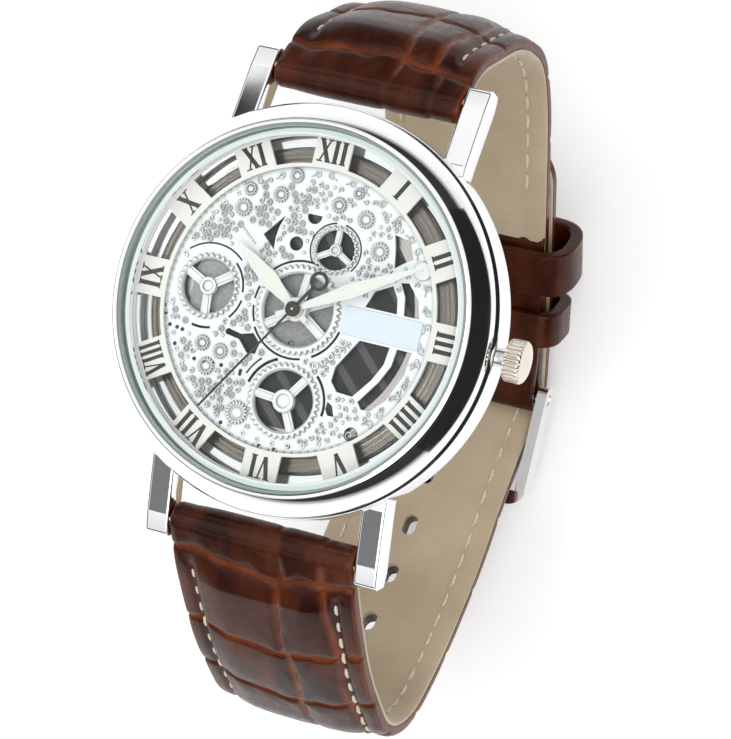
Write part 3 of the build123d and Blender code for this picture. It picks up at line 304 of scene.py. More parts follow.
STEEL = (0.86, 0.87, 0.885)
MATERIALS = {
    "case_steel": polished("case_steel_look", STEEL, 0.05),
    "back_steel": circular("back_steel_look", (0.74, 0.75, 0.76), 0.3, 14.0),
    "crown_metal": polished("crown_metal_look", (0.72, 0.67, 0.58), 0.14),
    "crystal_glass": clear_glass("crystal_glass_look", (0.992, 1.0, 0.997)),
    "seal_rubber": satin("seal_rubber_look", (0.03, 0.03, 0.03), 0.6),
    "holder_metal": circular("holder_metal_look", (0.62, 0.60, 0.57), 0.22, 6.0, 0.6, (0.32, 0.28, 0.25)),
    "dial_silver": dial_look("dial_silver_look", (0.92, 0.95, 0.96)),
    "name_plate_paint": satin("name_plate_look", (0.76, 0.83, 0.92), 0.4, 0.0, 0.04, 12.0, 0.02),
    "hour_plate_cream": satin("hour_plate_look", (0.86, 0.85, 0.80), 0.4, 0.05, 0.06, 50.0),
    "hand_white": satin("hand_white_look", (0.83, 0.83, 0.80), 0.22, 0.45, 0.05, 30.0, 0.05),
    "inlay_cream": satin("inlay_cream_look", (0.86, 0.87, 0.80), 0.6, 0.0, 0.05, 90.0, 0.25),
    "second_hand_black": satin("second_hand_look", (0.016, 0.016, 0.018), 0.22, 0.0, 0.05, 30.0, 0.05),
    "train_brass": circular("train_brass_look", (0.80, 0.66, 0.36), 0.25, 10.0),
    "arbor_steel": polished("arbor_steel_look", (0.70, 0.70, 0.72), 0.16),
    "movement_plate": movement_look("movement_plate_look"),
    "copper_winding": satin("copper_winding_look", (0.72, 0.38, 0.20), 0.35, 0.9, 0.2, 60.0, 0.5),
    "circuit_green": satin("circuit_green_look", (0.05, 0.2, 0.11), 0.45, 0.0, 0.2, 40.0, 0.2),
    "battery_steel": satin("battery_steel_look", (0.74, 0.74, 0.75), 0.25, 0.95, 0.08, 30.0, 0.1),
    "buckle_steel": polished("buckle_steel_look", (0.84, 0.84, 0.84), 0.08),
    "strap_leather": leather("strap_leather_look"),
    "strap_lining": lining_cloth("strap_lining_look"),
}

slot_of = {entry["node"]: entry["material_slot"] for entry in frame["record"]["subparts"]}
for name, obj in nodes.items():
    obj.data.materials.clear()
    obj.data.materials.append(MATERIALS[slot_of[name]])
clear_seal = satin("crystal_gasket_look", (0.27, 0.31, 0.295), 0.35, 0.0, 0.05, 20.0, 0.05)
nodes["crystal_gasket"].data.materials.clear()
nodes["crystal_gasket"].data.materials.append(clear_seal)

# ---------------------------------------------------------------- geometry helpers


def add_mesh(name, verts, faces, material, body="root", replaces=(), slot=None, smooth=True):
    """A mesh piece in millimetres that rides on a body."""
    mesh = bpy.data.meshes.new(name)
    mesh.from_pydata([(x * MM, y * MM, z * MM) for x, y, z in verts], [], faces)
    mesh.validate()
    return add_piece(name, mesh, material, body, replaces, smooth)


def add_piece(name, mesh, material, body="root", replaces=(), smooth=True):
    obj = bpy.data.objects.new(name, mesh)
    bpy.context.scene.collection.objects.link(obj)
    mesh.materials.append(material)
    if smooth:
        mesh.polygons.foreach_set("use_smooth", [True] * len(mesh.polygons))
        mesh.set_sharp_from_angle(angle=math.radians(38))
    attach(obj, body)
    if replaces:
        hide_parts(*replaces)
    return obj


def join_parts(parts):
    """Joins (vertices, faces) lists into one."""
    verts, faces = [], []
    for part_verts, part_faces in parts:
        start = len(verts)
        verts += [tuple(v) for v in part_verts]
        faces += [tuple(i + start for i in face) for face in part_faces]
    return verts, faces


def loft(rings, closed_path=False, caps=True):
    """Faces between equal rings of points, as (vertices, faces)."""
    rings = np.asarray(rings, float)
    count, size = rings.shape[0], rings.shape[1]
    verts = rings.reshape(-1, 3).tolist()
    faces = []
    for i in range(count if closed_path else count - 1):
        low, high = i * size, (i + 1) % count * size
        for j in range(size):
            k = (j + 1) % size
            faces.append((low + j, low + k, high + k, high + j))
    if caps and not closed_path:
        faces.append(tuple(range(size - 1, -1, -1)))
        faces.append(tuple((count - 1) * size + j for j in range(size)))
    return verts, faces


def rounded(points, radius, steps=5):
    """A closed outline with each corner rounded; radius is one number or one per corner."""
    points = [np.array(p, float) for p in points]
    count = len(points)
    radii = radius if isinstance(radius, (list, tuple)) else [radius] * count
    out = []
    for i, corner in enumerate(points):
        before, after = points[i - 1] - corner, points[(i + 1) % count] - corner
        len_b, len_a = np.linalg.norm(before), np.linalg.norm(after)
        before, after = before / len_b, after / len_a
        half = math.acos(max(-1.0, min(1.0, float(before @ after)))) / 2
        reach = min(radii[i] / max(math.tan(half), 1e-6), 0.48 * len_b, 0.48 * len_a)
        if reach < 1e-5:
            out.append(corner)
            continue
        start, end = corner + before * reach, corner + after * reach
        for t in np.linspace(0, 1, steps + 1):
            out.append((1 - t) ** 2 * start + 2 * t * (1 - t) * corner + t ** 2 * end)
    return [tuple(p) for p in out]


def lathe(profile, segments=256, axis="Z", origin=(0, 0, 0)):
    """A closed (radius, height) outline turned about an axis, as (vertices, faces)."""
    rings = []
    for i in range(segments):
        a = 2 * math.pi * i / segments
        c, s = math.cos(a), math.sin(a)
        if axis == "Z":
            rings.append([(r * c + origin[0], r * s + origin[1], h + origin[2]) for r, h in profile])
        else:
            rings.append([(h + origin[0], r * c + origin[1], r * s + origin[2]) for r, h in profile])
    return loft(rings, closed_path=True)


# ---------------------------------------------------------------- strap

BAR_Y, BAR_Z, BAR_EYE = 22.6, 0.1, 1.75
PIN_Y, PIN_Z, PIN_EYE = -3.7, -48.3, 1.6
UPPER_LINE = [(23.73, 1.44), (28.0, -2.2), (32.4, -14.2), (31.7, -23.3), (26.6, -29.3), (7.5, -43.9),
              (-2.92, -49.69)]
LOWER_LINE = [(-23.73, 1.44), (-27.5, -2.0), (-35.4, -11.2), (-41.7, -22.8), (-40.4, -30.9),
              (-33.6, -37.3), (-24.0, -43.3), (-14.5, -46.7), (-3.6, -52.6), (8.68, -45.7), (25.0, -33.2)]
PIN_CORNER, PIN_CORNER_RADIUS = (-3.6, -52.6), 3.75
WIDE, NARROW, NARROW_Z = 9.85, 9.0, -46.0
LEATHER, LINING = 1.4, 2.0
MARGIN = 2.05
STEP = 0.2


def strap_path(points, side):
    """Points every STEP mm along a strap line with its rounded corners, and their outward normals."""
    points = [np.array(p) for p in points]
    line = [points[0]]
    for i in range(1, len(points) - 1):
        before, after = points[i - 1] - points[i], points[i + 1] - points[i]
        len_b, len_a = np.linalg.norm(before), np.linalg.norm(after)
        before, after = before / len_b, after / len_a
        half = math.acos(float(before @ after)) / 2
        radius = 0.45 * min(len_b, len_a) * math.tan(half)
        if tuple(points[i]) == PIN_CORNER:
            radius = PIN_CORNER_RADIUS
        centre = points[i] + (before + after) / np.linalg.norm(before + after) * radius / math.sin(half)
        start, end = points[i] + before * radius / math.tan(half), points[i] + after * radius / math.tan(half)
        a, b = start - centre, end - centre
        turn = math.atan2(a[0] * b[1] - a[1] * b[0], float(a @ b))
        for t in np.linspace(0, 1, 24):
            c, s = math.cos(turn * t), math.sin(turn * t)
            line.append(centre + np.array((c * a[0] - s * a[1], s * a[0] + c * a[1])))
    line.append(points[-1])
    return even_path(line, side)


def even_path(line, side, step=STEP):
    line = np.array(line)
    gaps = np.linalg.norm(np.diff(line, axis=0), axis=1)
    keep = np.concatenate(([True], gaps > 1e-6))
    line = line[keep]
    run = np.concatenate(([0], np.cumsum(np.linalg.norm(np.diff(line, axis=0), axis=1))))
    at = np.linspace(0, run[-1], int(run[-1] / step) + 1)
    place = np.stack([np.interp(at, run, line[:, k]) for k in (0, 1)], axis=1)
    along = np.gradient(place, axis=0)
    along /= np.linalg.norm(along, axis=1)[:, None]
    normal = side * np.stack([-along[:, 1], along[:, 0]], axis=1)
    return at, place, normal


def half_width(z):
    return np.interp(z, [NARROW_Z, 0], [NARROW, WIDE])


def scale_lines(u, s, rows, columns, seed):
    """Distance in millimetres to the nearest groove between large scales."""
    rng = np.random.default_rng(seed)
    shifts = rng.uniform(-0.7, 0.7, (len(rows) + 1, len(columns)))
    bends = rng.uniform(-0.35, 0.35, len(rows) + 1)
    wave = 0.42 * np.sin(u * 0.42 + 1.3) + 0.2 * np.sin(u * 1.1 + s * 0.05)
    nearest = np.full(u.shape, 9.0)
    row = np.zeros(u.shape, int)
    for k, place in enumerate(rows):
        edge = place + wave * (1 + 0.3 * bends[k]) + bends[k] * u * 0.12
        nearest = np.minimum(nearest, np.abs(s - edge))
        row += (s > edge).astype(int)
    for k, place in enumerate(columns):
        line = place + shifts[row, k] + 0.3 * np.sin(s * 0.33 + k * 2.1 + row)
        nearest = np.minimum(nearest, np.abs(u - line) * 1.1)
    return nearest


def strap_leather(name, line, side, crown, rows, seed, replaces, end_s=None, tip=0.0, cutters=None):
    """One half's outer leather: padded middle, flat stitched margins, rolled bar end and pressed scales."""
    run, place, normal = strap_path(line, side)
    sign = 1 if line[0][0] > 0 else -1
    join = math.atan2(line[0][1] - BAR_Z, sign * line[0][0] - BAR_Y)
    roll = [(sign * (BAR_Y + BAR_EYE * math.cos(a)), BAR_Z + BAR_EYE * math.sin(a))
            for a in np.linspace(math.radians(275), join, 40)]
    roll_run, roll_place, roll_normal = even_path(roll, side)
    s = np.concatenate((roll_run - roll_run[-1], run[1:]))
    place = np.concatenate((roll_place, place[1:]))
    normal = np.concatenate((roll_normal, normal[1:]))
    if end_s:
        keep = s <= end_s
        s, place, normal = s[keep], place[keep], normal[keep]
    width = half_width(place[:, 1])
    if tip:
        left = np.clip((s[-1] - s) / tip, 0, 1)
        width = np.where(s > s[-1] - tip, width * np.sqrt(np.clip(1 - (1 - left) ** 2.2, 0.0, 1)), width)
        width = np.maximum(width, 0.6)
    middle = np.linspace(-1, 1, 97)
    u = middle[None, :] * (width[:, None] - 0.35)
    ss = np.repeat(s[:, None], u.shape[1], axis=1)
    pad_width = width[:, None] - MARGIN
    t = np.clip(np.abs(u) / np.maximum(pad_width, 0.1), 0, 1)
    lift = np.interp(ss, [-1.0, 2.5, 6.0, crown[1], crown[1] + 16], [0.0, 0.15, 1.0, 1.0, 0.16]) * crown[0]
    height = -0.16 + (lift + 0.16) * (1 - t ** 4.5)
    stitch = np.abs(np.abs(u) - pad_width)
    on_line = np.clip((ss - 4.0) / 0.8, 0, 1)
    height -= 0.2 * np.exp(-(stitch / 0.3) ** 2) * on_line
    height += 0.06 * np.exp(-((stitch - 0.75) / 0.4) ** 2) * on_line
    gap = scale_lines(u, ss, rows, (1.5, 6.6), seed)
    ridge = np.interp(ss, [0.4, 2.5], [0.25, 1.0])
    groove = np.exp(-(gap / 0.36) ** 2) * ridge
    height -= 0.26 * groove
    height += 0.1 * (1 - np.exp(-(gap / 1.7) ** 2)) * ridge
    height += 0.035 * np.sin(u * 2.3 + np.sin(ss * 0.9) * 2) * np.exp(-(gap / 1.3) ** 2)
    rim = np.abs(u) / (width[:, None] - 0.34)
    height -= 0.12 * np.clip((rim - 0.965) / 0.035, 0, 1) ** 2
    depth = np.interp(s, [-9, 0.3, 2.6, 500], [0.78, 0.78, LEATHER, LEATHER])
    corners = []
    for side_x in (1, -1):
        edge = []
        for a in np.linspace(10, 90, 5):
            r = math.radians(a)
            edge.append((0.35 * math.sin(r), -0.35 * (1 - math.cos(r))))
        corners.append(edge)
    rings = []
    shade = []
    for i in range(len(s)):
        top = [(u[i, j], height[i, j]) for j in range(u.shape[1])]
        right_edge = [(u[i, -1] + dx, height[i, -1] + dz) for dx, dz in corners[0]]
        left_edge = [(u[i, 0] - dx, height[i, 0] + dz) for dx, dz in reversed(corners[1])]
        wall = right_edge[-1][0]
        under = [(wall, -depth[i] + 0.15), (wall - 0.12, -depth[i])]
        under += [(wall * (1 - q / 4), -depth[i]) for q in range(1, 8)]
        under += [(-wall + 0.12, -depth[i]), (-wall, -depth[i] + 0.15)]
        section = top + right_edge + under + left_edge
        rings.append([(x, place[i, 0] + n * normal[i, 0], place[i, 1] + n * normal[i, 1]) for x, n in section])
        shade += list(groove[i]) + [0.55] * (len(section) - len(top))
    verts, faces = loft(rings)
    obj = add_mesh(name, verts, faces, MATERIALS["strap_leather"], "root", replaces, "strap_leather")
    layer = obj.data.attributes.new("groove", "FLOAT", "POINT")
    layer.data.foreach_set("value", np.array(shade, np.float32))
    recalculate(obj)
    return obj, (s, place, normal, width, u, height)


def recalculate(obj):
    work = bmesh.new()
    work.from_mesh(obj.data)
    bmesh.ops.recalc_face_normals(work, faces=work.faces)
    work.to_mesh(obj.data)
    work.free()


def strap_lining(name, line, side, replaces, start_s, end_s=None, tip=0.0):
    """One half's lining, a thin sheet under the leather."""
    s, place, normal = strap_path(line, side)
    last = s[-1]
    keep = s >= start_s
    if end_s:
        keep &= s <= end_s
    s, place, normal = s[keep], place[keep], normal[keep]
    width = half_width(place[:, 1]) - 0.03
    if tip:
        left = np.clip((last - s) / tip, 0, 1)
        width = np.where(s > last - tip, width * np.sqrt(np.clip(1 - (1 - left) ** 2.2, 0, 1)), width)
        width = np.maximum(width, 0.5)
    rings = []
    for i in range(len(s)):
        w = width[i]
        bottom = -LINING
        across = np.linspace(-1, 1, 41)
        pad = [-0.12 * math.exp(-((abs(x) * w - (w - MARGIN)) / 0.35) ** 2) for x in across]
        section = [(x * (w - 0.2), bottom - p + (0.1 if abs(x) > 0.999 else 0)) for x, p in zip(across, pad)]
        section += [(w, bottom + 0.3), (w, -LEATHER + 0.01), (-w, -LEATHER + 0.01), (-w, bottom + 0.3)]
        rings.append([(x, place[i, 0] + n * normal[i, 0], place[i, 1] + n * normal[i, 1]) for x, n in section])
    verts, faces = loft(rings)
    obj = add_mesh(name, verts, faces, MATERIALS["strap_lining"], "root", replaces, "strap_lining")
    recalculate(obj)
    return obj


UPPER_ROWS = (2.9, 12.4, 21.6, 30.4, 39.0, 47.5, 56.0, 64.0)
LOWER_ROWS = (2.9, 13.6, 22.4, 31.2, 40.0, 48.6, 57.0, 65.4, 74.0, 82.6, 91.0, 99.4)
upper_leather, upper_form = strap_leather("strap_upper_leather", UPPER_LINE, 1, (0.95, 24), UPPER_ROWS, 4,
                                          ("strap_12_leather",), end_s=62.0)
lower_leather, lower_form = strap_leather("strap_lower_leather", LOWER_LINE, -1, (0.95, 24), LOWER_ROWS, 9,
                                          ("strap_6_leather",), tip=7.0)
upper_lining = strap_lining("strap_upper_lining", UPPER_LINE, 1, ("strap_12_lining",), 1.4, end_s=58.0)
lower_lining = strap_lining("strap_lower_lining", LOWER_LINE, -1, ("strap_6_lining",), 1.4, tip=7.0)

# ---------------------------------------------------------------- strap fittings


def place_at(form, s):
    """Point, outward normal, direction and half width on a strap half at a distance along it."""
    run, place, normal, width = form[:4]
    point = np.array([np.interp(s, run, place[:, k]) for k in (0, 1)])
    out = np.array([np.interp(s, run, normal[:, k]) for k in (0, 1)])
    ahead = np.array([np.interp(s + 0.2, run, place[:, k]) for k in (0, 1)]) - point
    ahead /= np.linalg.norm(ahead)
    return point, out, ahead, float(np.interp(s, run, width))


def capsule(centre, along, out, length, radius, sink):
    """A thread stitch that rises from the leather and dips back into it."""
    centre, along, out = (np.array(v, float) for v in (centre, along, out))
    across = np.cross(along, out)
    rings = []
    for t in np.linspace(-0.98, 0.98, 9):
        size = radius * (1 - abs(t) ** 5) ** 0.5
        middle = centre + along * t * length / 2 - out * sink * t * t
        ring = []
        for k in range(8):
            a = math.pi * k / 4
            ring.append(tuple(middle + size * (across * math.cos(a) + out * math.sin(a) * 0.8)))
        rings.append(ring)
    return loft(rings)


def stitch_rows(name, form, level, start, end, radius=0.21, pitch=2.6, cross=True):
    """Both rows of stitches on one side of a strap half."""
    parts = []
    for sign in (1, -1):
        for s in np.arange(start, end, pitch):
            point, out, ahead, width = place_at(form, s)
            middle = point + level * out
            parts.append(capsule((sign * (width - MARGIN), *middle), (0, *ahead), (0, *out), 1.8, radius, 0.2))
        if cross:
            point, out, ahead, width = place_at(form, start - 1.3)
            middle = point + level * out
            centre = (sign * (width - MARGIN / 2 - 0.1), *middle)
            parts.append(capsule(centre, (1, 0, 0), (0, *out), 1.9, radius, 0.2))
    verts, faces = join_parts(parts)
    obj = add_mesh(name, verts, faces, THREAD, "root", (), "stitch_thread")
    recalculate(obj)
    return obj


def cut(obj, cutters):
    """Takes closed shapes out of a piece, then deletes them."""
    for index, (verts, faces) in enumerate(cutters):
        mesh = bpy.data.meshes.new("cutter")
        mesh.from_pydata([(x * MM, y * MM, z * MM) for x, y, z in verts], [], faces)
        tool = bpy.data.objects.new("cutter", mesh)
        bpy.context.scene.collection.objects.link(tool)
        recalculate(tool)
        modifier = obj.modifiers.new("cut", "BOOLEAN")
        modifier.operation = "DIFFERENCE"
        modifier.solver = "EXACT"
        modifier.object = tool
        bpy.context.view_layer.update()
        shape = bpy.data.meshes.new_from_object(obj.evaluated_get(bpy.context.evaluated_depsgraph_get()))
        obj.modifiers.clear()
        old = obj.data
        obj.data = shape
        bpy.data.meshes.remove(old)
        bpy.data.objects.remove(tool)


def oval_cutter(run, distance, length=2.4, width=1.5):
    """A buckle hole's oval bar, on one run of the long half's line."""
    start, end = np.array(LOWER_LINE[run]), np.array(LOWER_LINE[run + 1])
    ahead = (end - start) / np.linalg.norm(end - start)
    out = -np.array((-ahead[1], ahead[0]))
    centre = start + ahead * distance
    rings = []
    for depth in (-3.5, 1.6):
        ring = []
        for k in range(32):
            a = 2 * math.pi * k / 32
            along = width / 2 * math.sin(a) + math.copysign((length - width) / 2, math.sin(a))
            spot = centre + ahead * along + out * depth
            ring.append((width / 2 * math.cos(a), *spot))
        rings.append(ring)
    return loft(rings)


def tunnel_cutter(angle, width=2.5, height=1.6, near=1.5, far=13.5):
    """The way that the tongue takes through the long half."""
    a = math.radians(TONGUE_TILT + angle)
    rings = []
    for distance in (near, far):
        ring = []
        for x, h in ((-width / 2, -height / 2), (width / 2, -height / 2), (width / 2, height / 2),
                     (-width / 2, height / 2)):
            y, z = -distance, h
            ring.append((x, PIN_Y + y * math.cos(a) - z * math.sin(a), PIN_Z + y * math.sin(a) + z * math.cos(a)))
        rings.append(ring)
    return loft(rings)


def pin_loops(name, form):
    """The short half's end: two loops round the buckle pin that fold back under the leather."""
    run, place, normal = strap_path(UPPER_LINE, 1)
    pairs = []
    keep = run > PIN_LEATHER_END - 0.6
    for p, n in zip(place[keep], normal[keep]):
        share = (p[0] - place[-1][0]) / 1.8
        thick = 0.92 + (LEATHER - 0.92) * max(0.0, min(1.0, share))
        pairs.append((p - 0.02 * n, p - thick * n))
    first = math.atan2(place[-1][1] - PIN_Z, place[-1][0] - PIN_Y)
    for t in np.linspace(0, math.pi, 26)[1:]:
        a = first - t
        spoke = np.array((math.cos(a), math.sin(a)))
        pin = np.array((PIN_Y, PIN_Z))
        pairs.append((pin + (PIN_EYE - 0.02) * spoke, pin + 0.68 * spoke))
    back = run[-1] - run
    for p, n, b in zip(place[::-1], normal[::-1], back[::-1]):
        if b < 0.4 or p[0] > FOLD_END_Y:
            continue
        ease = min(1.0, b / 5.0)
        ease = ease * ease * (3 - 2 * ease)
        thick = 0.9 if p[0] < FOLD_END_Y - 1.2 else 0.9 - 0.5 * (p[0] - FOLD_END_Y + 1.2) / 1.2
        top = 2.28 * (1 - ease) + (LEATHER + 0.02) * ease
        pairs.append((p - (top + thick) * n, p - top * n))
    parts = []
    for sign in (1, -1):
        rings = []
        for outside, inside in pairs:
            outside, inside = np.array(outside), np.array(inside)
            width = float(half_width(outside[1])) - 0.05
            ring = []
            for x, t in rounded([(1.35, 0), (width, 0), (width, 1), (1.35, 1)], 0.2, 3):
                spot = inside + (outside - inside) * t
                ring.append((sign * x, *spot))
            rings.append(ring)
        parts.append(loft(rings))
    verts, faces = join_parts(parts)
    obj = add_mesh(name, verts, faces, MATERIALS["strap_leather"], "root", (), "strap_leather")
    recalculate(obj)
    return obj


def keeper_loop(name, run, distance, width, outside, inside, body, node):
    """A leather loop round both strap halves, with soft edges."""
    start, end = np.array(UPPER_LINE[run]), np.array(UPPER_LINE[run + 1])
    ahead = (end - start) / np.linalg.norm(end - start)
    centre = start + ahead * distance
    inward = np.array((ahead[1], -ahead[0]))

    def corners(size):
        w, h, r = size
        return rounded([(w / 2, -h / 2), (w / 2, h / 2), (-w / 2, h / 2), (-w / 2, -h / 2)], r * 1.35, 10)

    rings = []
    pairs = list(zip(corners(outside), corners(inside)))
    dense = []
    for i, (a, b) in enumerate(pairs):
        c, d = pairs[(i + 1) % len(pairs)]
        steps = max(1, int(math.dist(a, c) / 0.5))
        dense += [((a[0] + (c[0] - a[0]) * t / steps, a[1] + (c[1] - a[1]) * t / steps),
                   (b[0] + (d[0] - b[0]) * t / steps, b[1] + (d[1] - b[1]) * t / steps)) for t in range(steps)]
    for index, (a, b) in enumerate(dense):
        ring = []
        wobble = 0.05 * math.sin(index * 0.23)
        for along, t in rounded([(-width / 2, 0), (width / 2, 0), (width / 2, 1), (-width / 2, 1)], 0.32, 4):
            crease = 0.13 * math.exp(-((abs(along) - width / 2 + 0.55) / 0.17) ** 2) * t
            share = t - crease
            x = b[0] + (a[0] - b[0]) * share
            h = b[1] + (a[1] - b[1]) * share
            spot = centre + ahead * (along + wobble) + inward * h
            ring.append((x, *spot))
        rings.append(ring)
    verts, faces = loft(rings, closed_path=True)
    obj = add_mesh(name, verts, faces, MATERIALS["strap_leather"], body, (node,), "strap_leather")
    recalculate(obj)
    return obj


def thread_look():
    """Cream waxed thread with a twist."""
    m = Nodes("stitch_thread_look", (0.72, 0.64, 0.50), 0.0, 0.6)
    twist = m.add("ShaderNodeTexWave", wave_type="BANDS", bands_direction="DIAGONAL")
    twist.inputs["Scale"].default_value = 2.2
    m.join(m.coords(), twist.inputs["Vector"])
    m.join(m.mix(twist.outputs["Fac"], (0.60, 0.50, 0.36), (0.80, 0.73, 0.60)), m.shader.inputs["Base Color"])
    m.join(m.grey_ramp(m.noise(0.8), 0.5, 0.72), m.shader.inputs["Roughness"])
    m.bump(twist.outputs["Fac"], 0.5, 0.04)
    return m.mat


THREAD = thread_look()
FOLD_END_Y = 14.3
TONGUE_TILT = 9.0
PIN_LEATHER_END = 62.0
HOLES = ((5, 1.7), (5, 8.0), (6, 3.2), (6, 9.4), (8, 3.2), (8, 9.5))
openings = [oval_cutter(*hole) for hole in HOLES] + [tunnel_cutter(a) for a in (0, 4, 8)]
cut(lower_leather, openings)
cut(lower_lining, openings)
stitch_rows("stitches_upper_leather", upper_form, -0.27, 6.0, 61.0)
stitch_rows("stitches_lower_leather", lower_form, -0.27, 6.0, lower_form[0][-1] - 7.0)
stitch_rows("stitches_upper_lining", upper_form, -LINING + 0.06, 7.0, 44.0, 0.17, cross=False)
stitch_rows("stitches_lower_lining", lower_form, -LINING + 0.06, 7.0, lower_form[0][-1] - 7.0, 0.17, cross=False)
pin_loops("strap_pin_loops", upper_form)
keeper_loop("fixed_keeper_loop", 5, 2.9, 4.0, (22.4, 7.2, 2.0), (19.6, 5.15, 1.0), "root", "fixed_keeper")
keeper_loop("sliding_keeper_loop", 4, 19.05, 5.2, (24.8, 8.3, 2.8), (22.0, 5.7, 1.8), "sliding_keeper",
            "sliding_keeper")

# ---------------------------------------------------------------- case


def inset(points, amount):
    """A closed outline moved towards its inside."""
    points = np.array(points, float)
    before = points - np.roll(points, 1, axis=0)
    after = np.roll(points, -1, axis=0) - points
    before /= np.linalg.norm(before, axis=1)[:, None]
    after /= np.linalg.norm(after, axis=1)[:, None]
    area = float(np.sum(points[:, 0] * np.roll(points[:, 1], -1) - np.roll(points[:, 0], -1) * points[:, 1]))
    turn = 1 if area > 0 else -1
    n_b = turn * np.stack([-before[:, 1], before[:, 0]], axis=1)
    n_a = turn * np.stack([-after[:, 1], after[:, 0]], axis=1)
    share = np.maximum(1 + np.sum(n_b * n_a, axis=1), 0.35)
    return points + amount * (n_b + n_a) / share[:, None]


def prism(outline, low, high, edge=0.03, at=(0, 0), turn=0.0):
    """A flat plate with a rounded upper edge, turned and moved into place."""
    c, s = math.cos(math.radians(turn)), math.sin(math.radians(turn))
    rings = []
    for amount, level in ((0, low), (0, high - edge), (0.3 * edge, high - 0.3 * edge), (edge, high)):
        rings.append([(at[0] + c * x - s * y, at[1] + s * x + c * y, level) for x, y in inset(outline, amount)])
    return loft(rings)


def ring(outer, inner, low, high, edge=0.05, at=(0, 0), segments=64):
    """A round rim with rounded upper edges."""
    profile = rounded([(inner, low), (outer, low), (outer, high), (inner, high)], [0, 0, edge, edge], 3)
    return lathe(profile, segments, origin=(at[0], at[1], 0))


def lug(side, end):
    """One lug with rounded edges, running from inside the band to the spring bar."""
    side_view = rounded([(15.0, 3.45), (17.0, 3.25), (22.6, 1.55), (24.6, 0.75), (24.8, -0.1), (24.5, -1.75),
                         (22.8, -1.75), (17.6, 0.0), (15.0, 0.75)], [0, 0.8, 3.0, 0.5, 0.5, 0.4, 0.8, 3.0, 0], 6)
    rings = []
    for x, amount in ((0, 0.26), (0.04, 0.13), (0.12, 0.04), (0.26, 0), (0.31, 0), (2.14, 0), (2.19, 0), (2.33, 0.04), (2.41, 0.13),
                      (2.45, 0.26)):
        rings.append([(side * (10.0 + x), end * y, z) for y, z in inset(side_view, amount)])
    return loft(rings)


band = rounded([(17.1, 0.5), (18.9, 0.5), (20.2, 1.7), (20.2, 5.2), (19.7, 5.7), (17.1, 5.7), (17.1, 4.4),
                (15.9, 4.4), (15.9, 1.2), (17.1, 1.2)], [0.05, 0.5, 0.6, 0.3, 0.3, 0.05, 0.05, 0.05, 0.05, 0.05], 6)
recalculate(add_mesh("case_band", *lathe(band, 320), MATERIALS["case_steel"], "root", ("case_middle",), "case_steel"))
lugs = [lug(side, end) for side in (1, -1) for end in (1, -1)]
case_lugs = add_mesh("case_lugs", *join_parts(lugs), MATERIALS["case_steel"], "root", ("case_middle",), "case_steel")
recalculate(case_lugs)
BAR_HOLE = 0.45
cut(case_lugs, [lathe([(0.001, -11.5), (BAR_HOLE, -11.5), (BAR_HOLE, 11.5), (0.001, 11.5)], 24, "X", (0, y, BAR_Z))
                for y in (BAR_Y, -BAR_Y)])

dome = [(17.8, 7.27), (17.8, 8.3), (17.86, 8.4), (18.0, 8.45)]
spot = np.array((18.1, 8.45))
for lean in np.linspace(8, 44, 6):
    spot = spot + 0.045 * np.array((math.cos(math.radians(lean)), -math.sin(math.radians(lean))))
    dome.append(tuple(spot))
for lean in np.linspace(44, 57, 22):
    spot = spot + 0.104 * np.array((math.cos(math.radians(lean)), -math.sin(math.radians(lean))))
    dome.append(tuple(spot))
reach, drop = spot
dome += [(reach + 0.12 * (20.0 - reach) * k, drop - 0.05 * k) for k in (2, 5, 8)]
dome += [(20.0, drop - 0.5), (19.93, 5.95), (19.7, 5.86), (17.16, 5.86), (17.16, 7.27)]
recalculate(add_mesh("bezel_dome", *lathe(dome, 384), MATERIALS["case_steel"], "root", ("bezel",), "case_steel"))

glass = add_mesh("crystal_disc", *lathe([(0.0, 7.65), (17.55, 7.65), (17.55, 8.4), (17.5, 8.47), (17.0, 8.82),
                                         (16.9, 8.85), (0.0, 8.85)], 256),
                 MATERIALS["crystal_glass"], "root", ("crystal",), "crystal_glass")
weld = bmesh.new()
weld.from_mesh(glass.data)
bmesh.ops.remove_doubles(weld, verts=weld.verts, dist=1e-7)
weld.to_mesh(glass.data)
weld.free()
recalculate(glass)
glass.data.materials.append(clear_glass("crystal_edge_look", (0.86, 0.91, 0.89)))
for face in glass.data.polygons:
    radius = math.hypot(face.center.x, face.center.y) / MM
    if radius > 16.92:
        face.material_index = 1

flange = rounded([(17.0, 6.27), (17.12, 6.27), (17.12, 7.24), (17.54, 7.26), (17.54, 7.64), (16.77, 7.64)],
                 [0.02, 0.02, 0.02, 0.02, 0.02, 0.05], 3)
recalculate(add_mesh("flange_wall", *lathe(flange, 256), MATERIALS["case_steel"], "root", ("flange_ring",),
                     "case_steel"))

crown_side = [(22.35, 0.001), (22.35, 1.15), (21.2, 1.15), (21.15, 1.22), (21.15, 1.8), (21.22, 1.98), (21.4, 2.08),
              (21.6, 2.1), (21.9, 2.1), (22.3, 2.1), (22.6, 2.1), (22.78, 2.05), (22.92, 1.92), (23.03, 1.7),
              (23.12, 1.4), (23.2, 1.0), (23.27, 0.55), (23.3, 0.25), (23.3, 0.001)]
rings = []
for i in range(26 * 12):
    angle = 2 * math.pi * i / (26 * 12)
    flute = (0.5 + 0.5 * math.cos(26 * angle)) ** 1.6
    ring_points = []
    for x, r in crown_side:
        deep = 0.17 * float(np.interp(x, [21.25, 21.5, 22.65, 22.9], [0, 1, 1, 0])) if r > 1.7 else 0.0
        r -= deep * flute
        ring_points.append((x, r * math.cos(angle), 3.9 + r * math.sin(angle)))
    rings.append(ring_points)
crown = add_mesh("crown_fluted", *loft(rings, closed_path=True), MATERIALS["crown_metal"], "crown", ("crown",),
                 "crown_metal")
recalculate(crown)


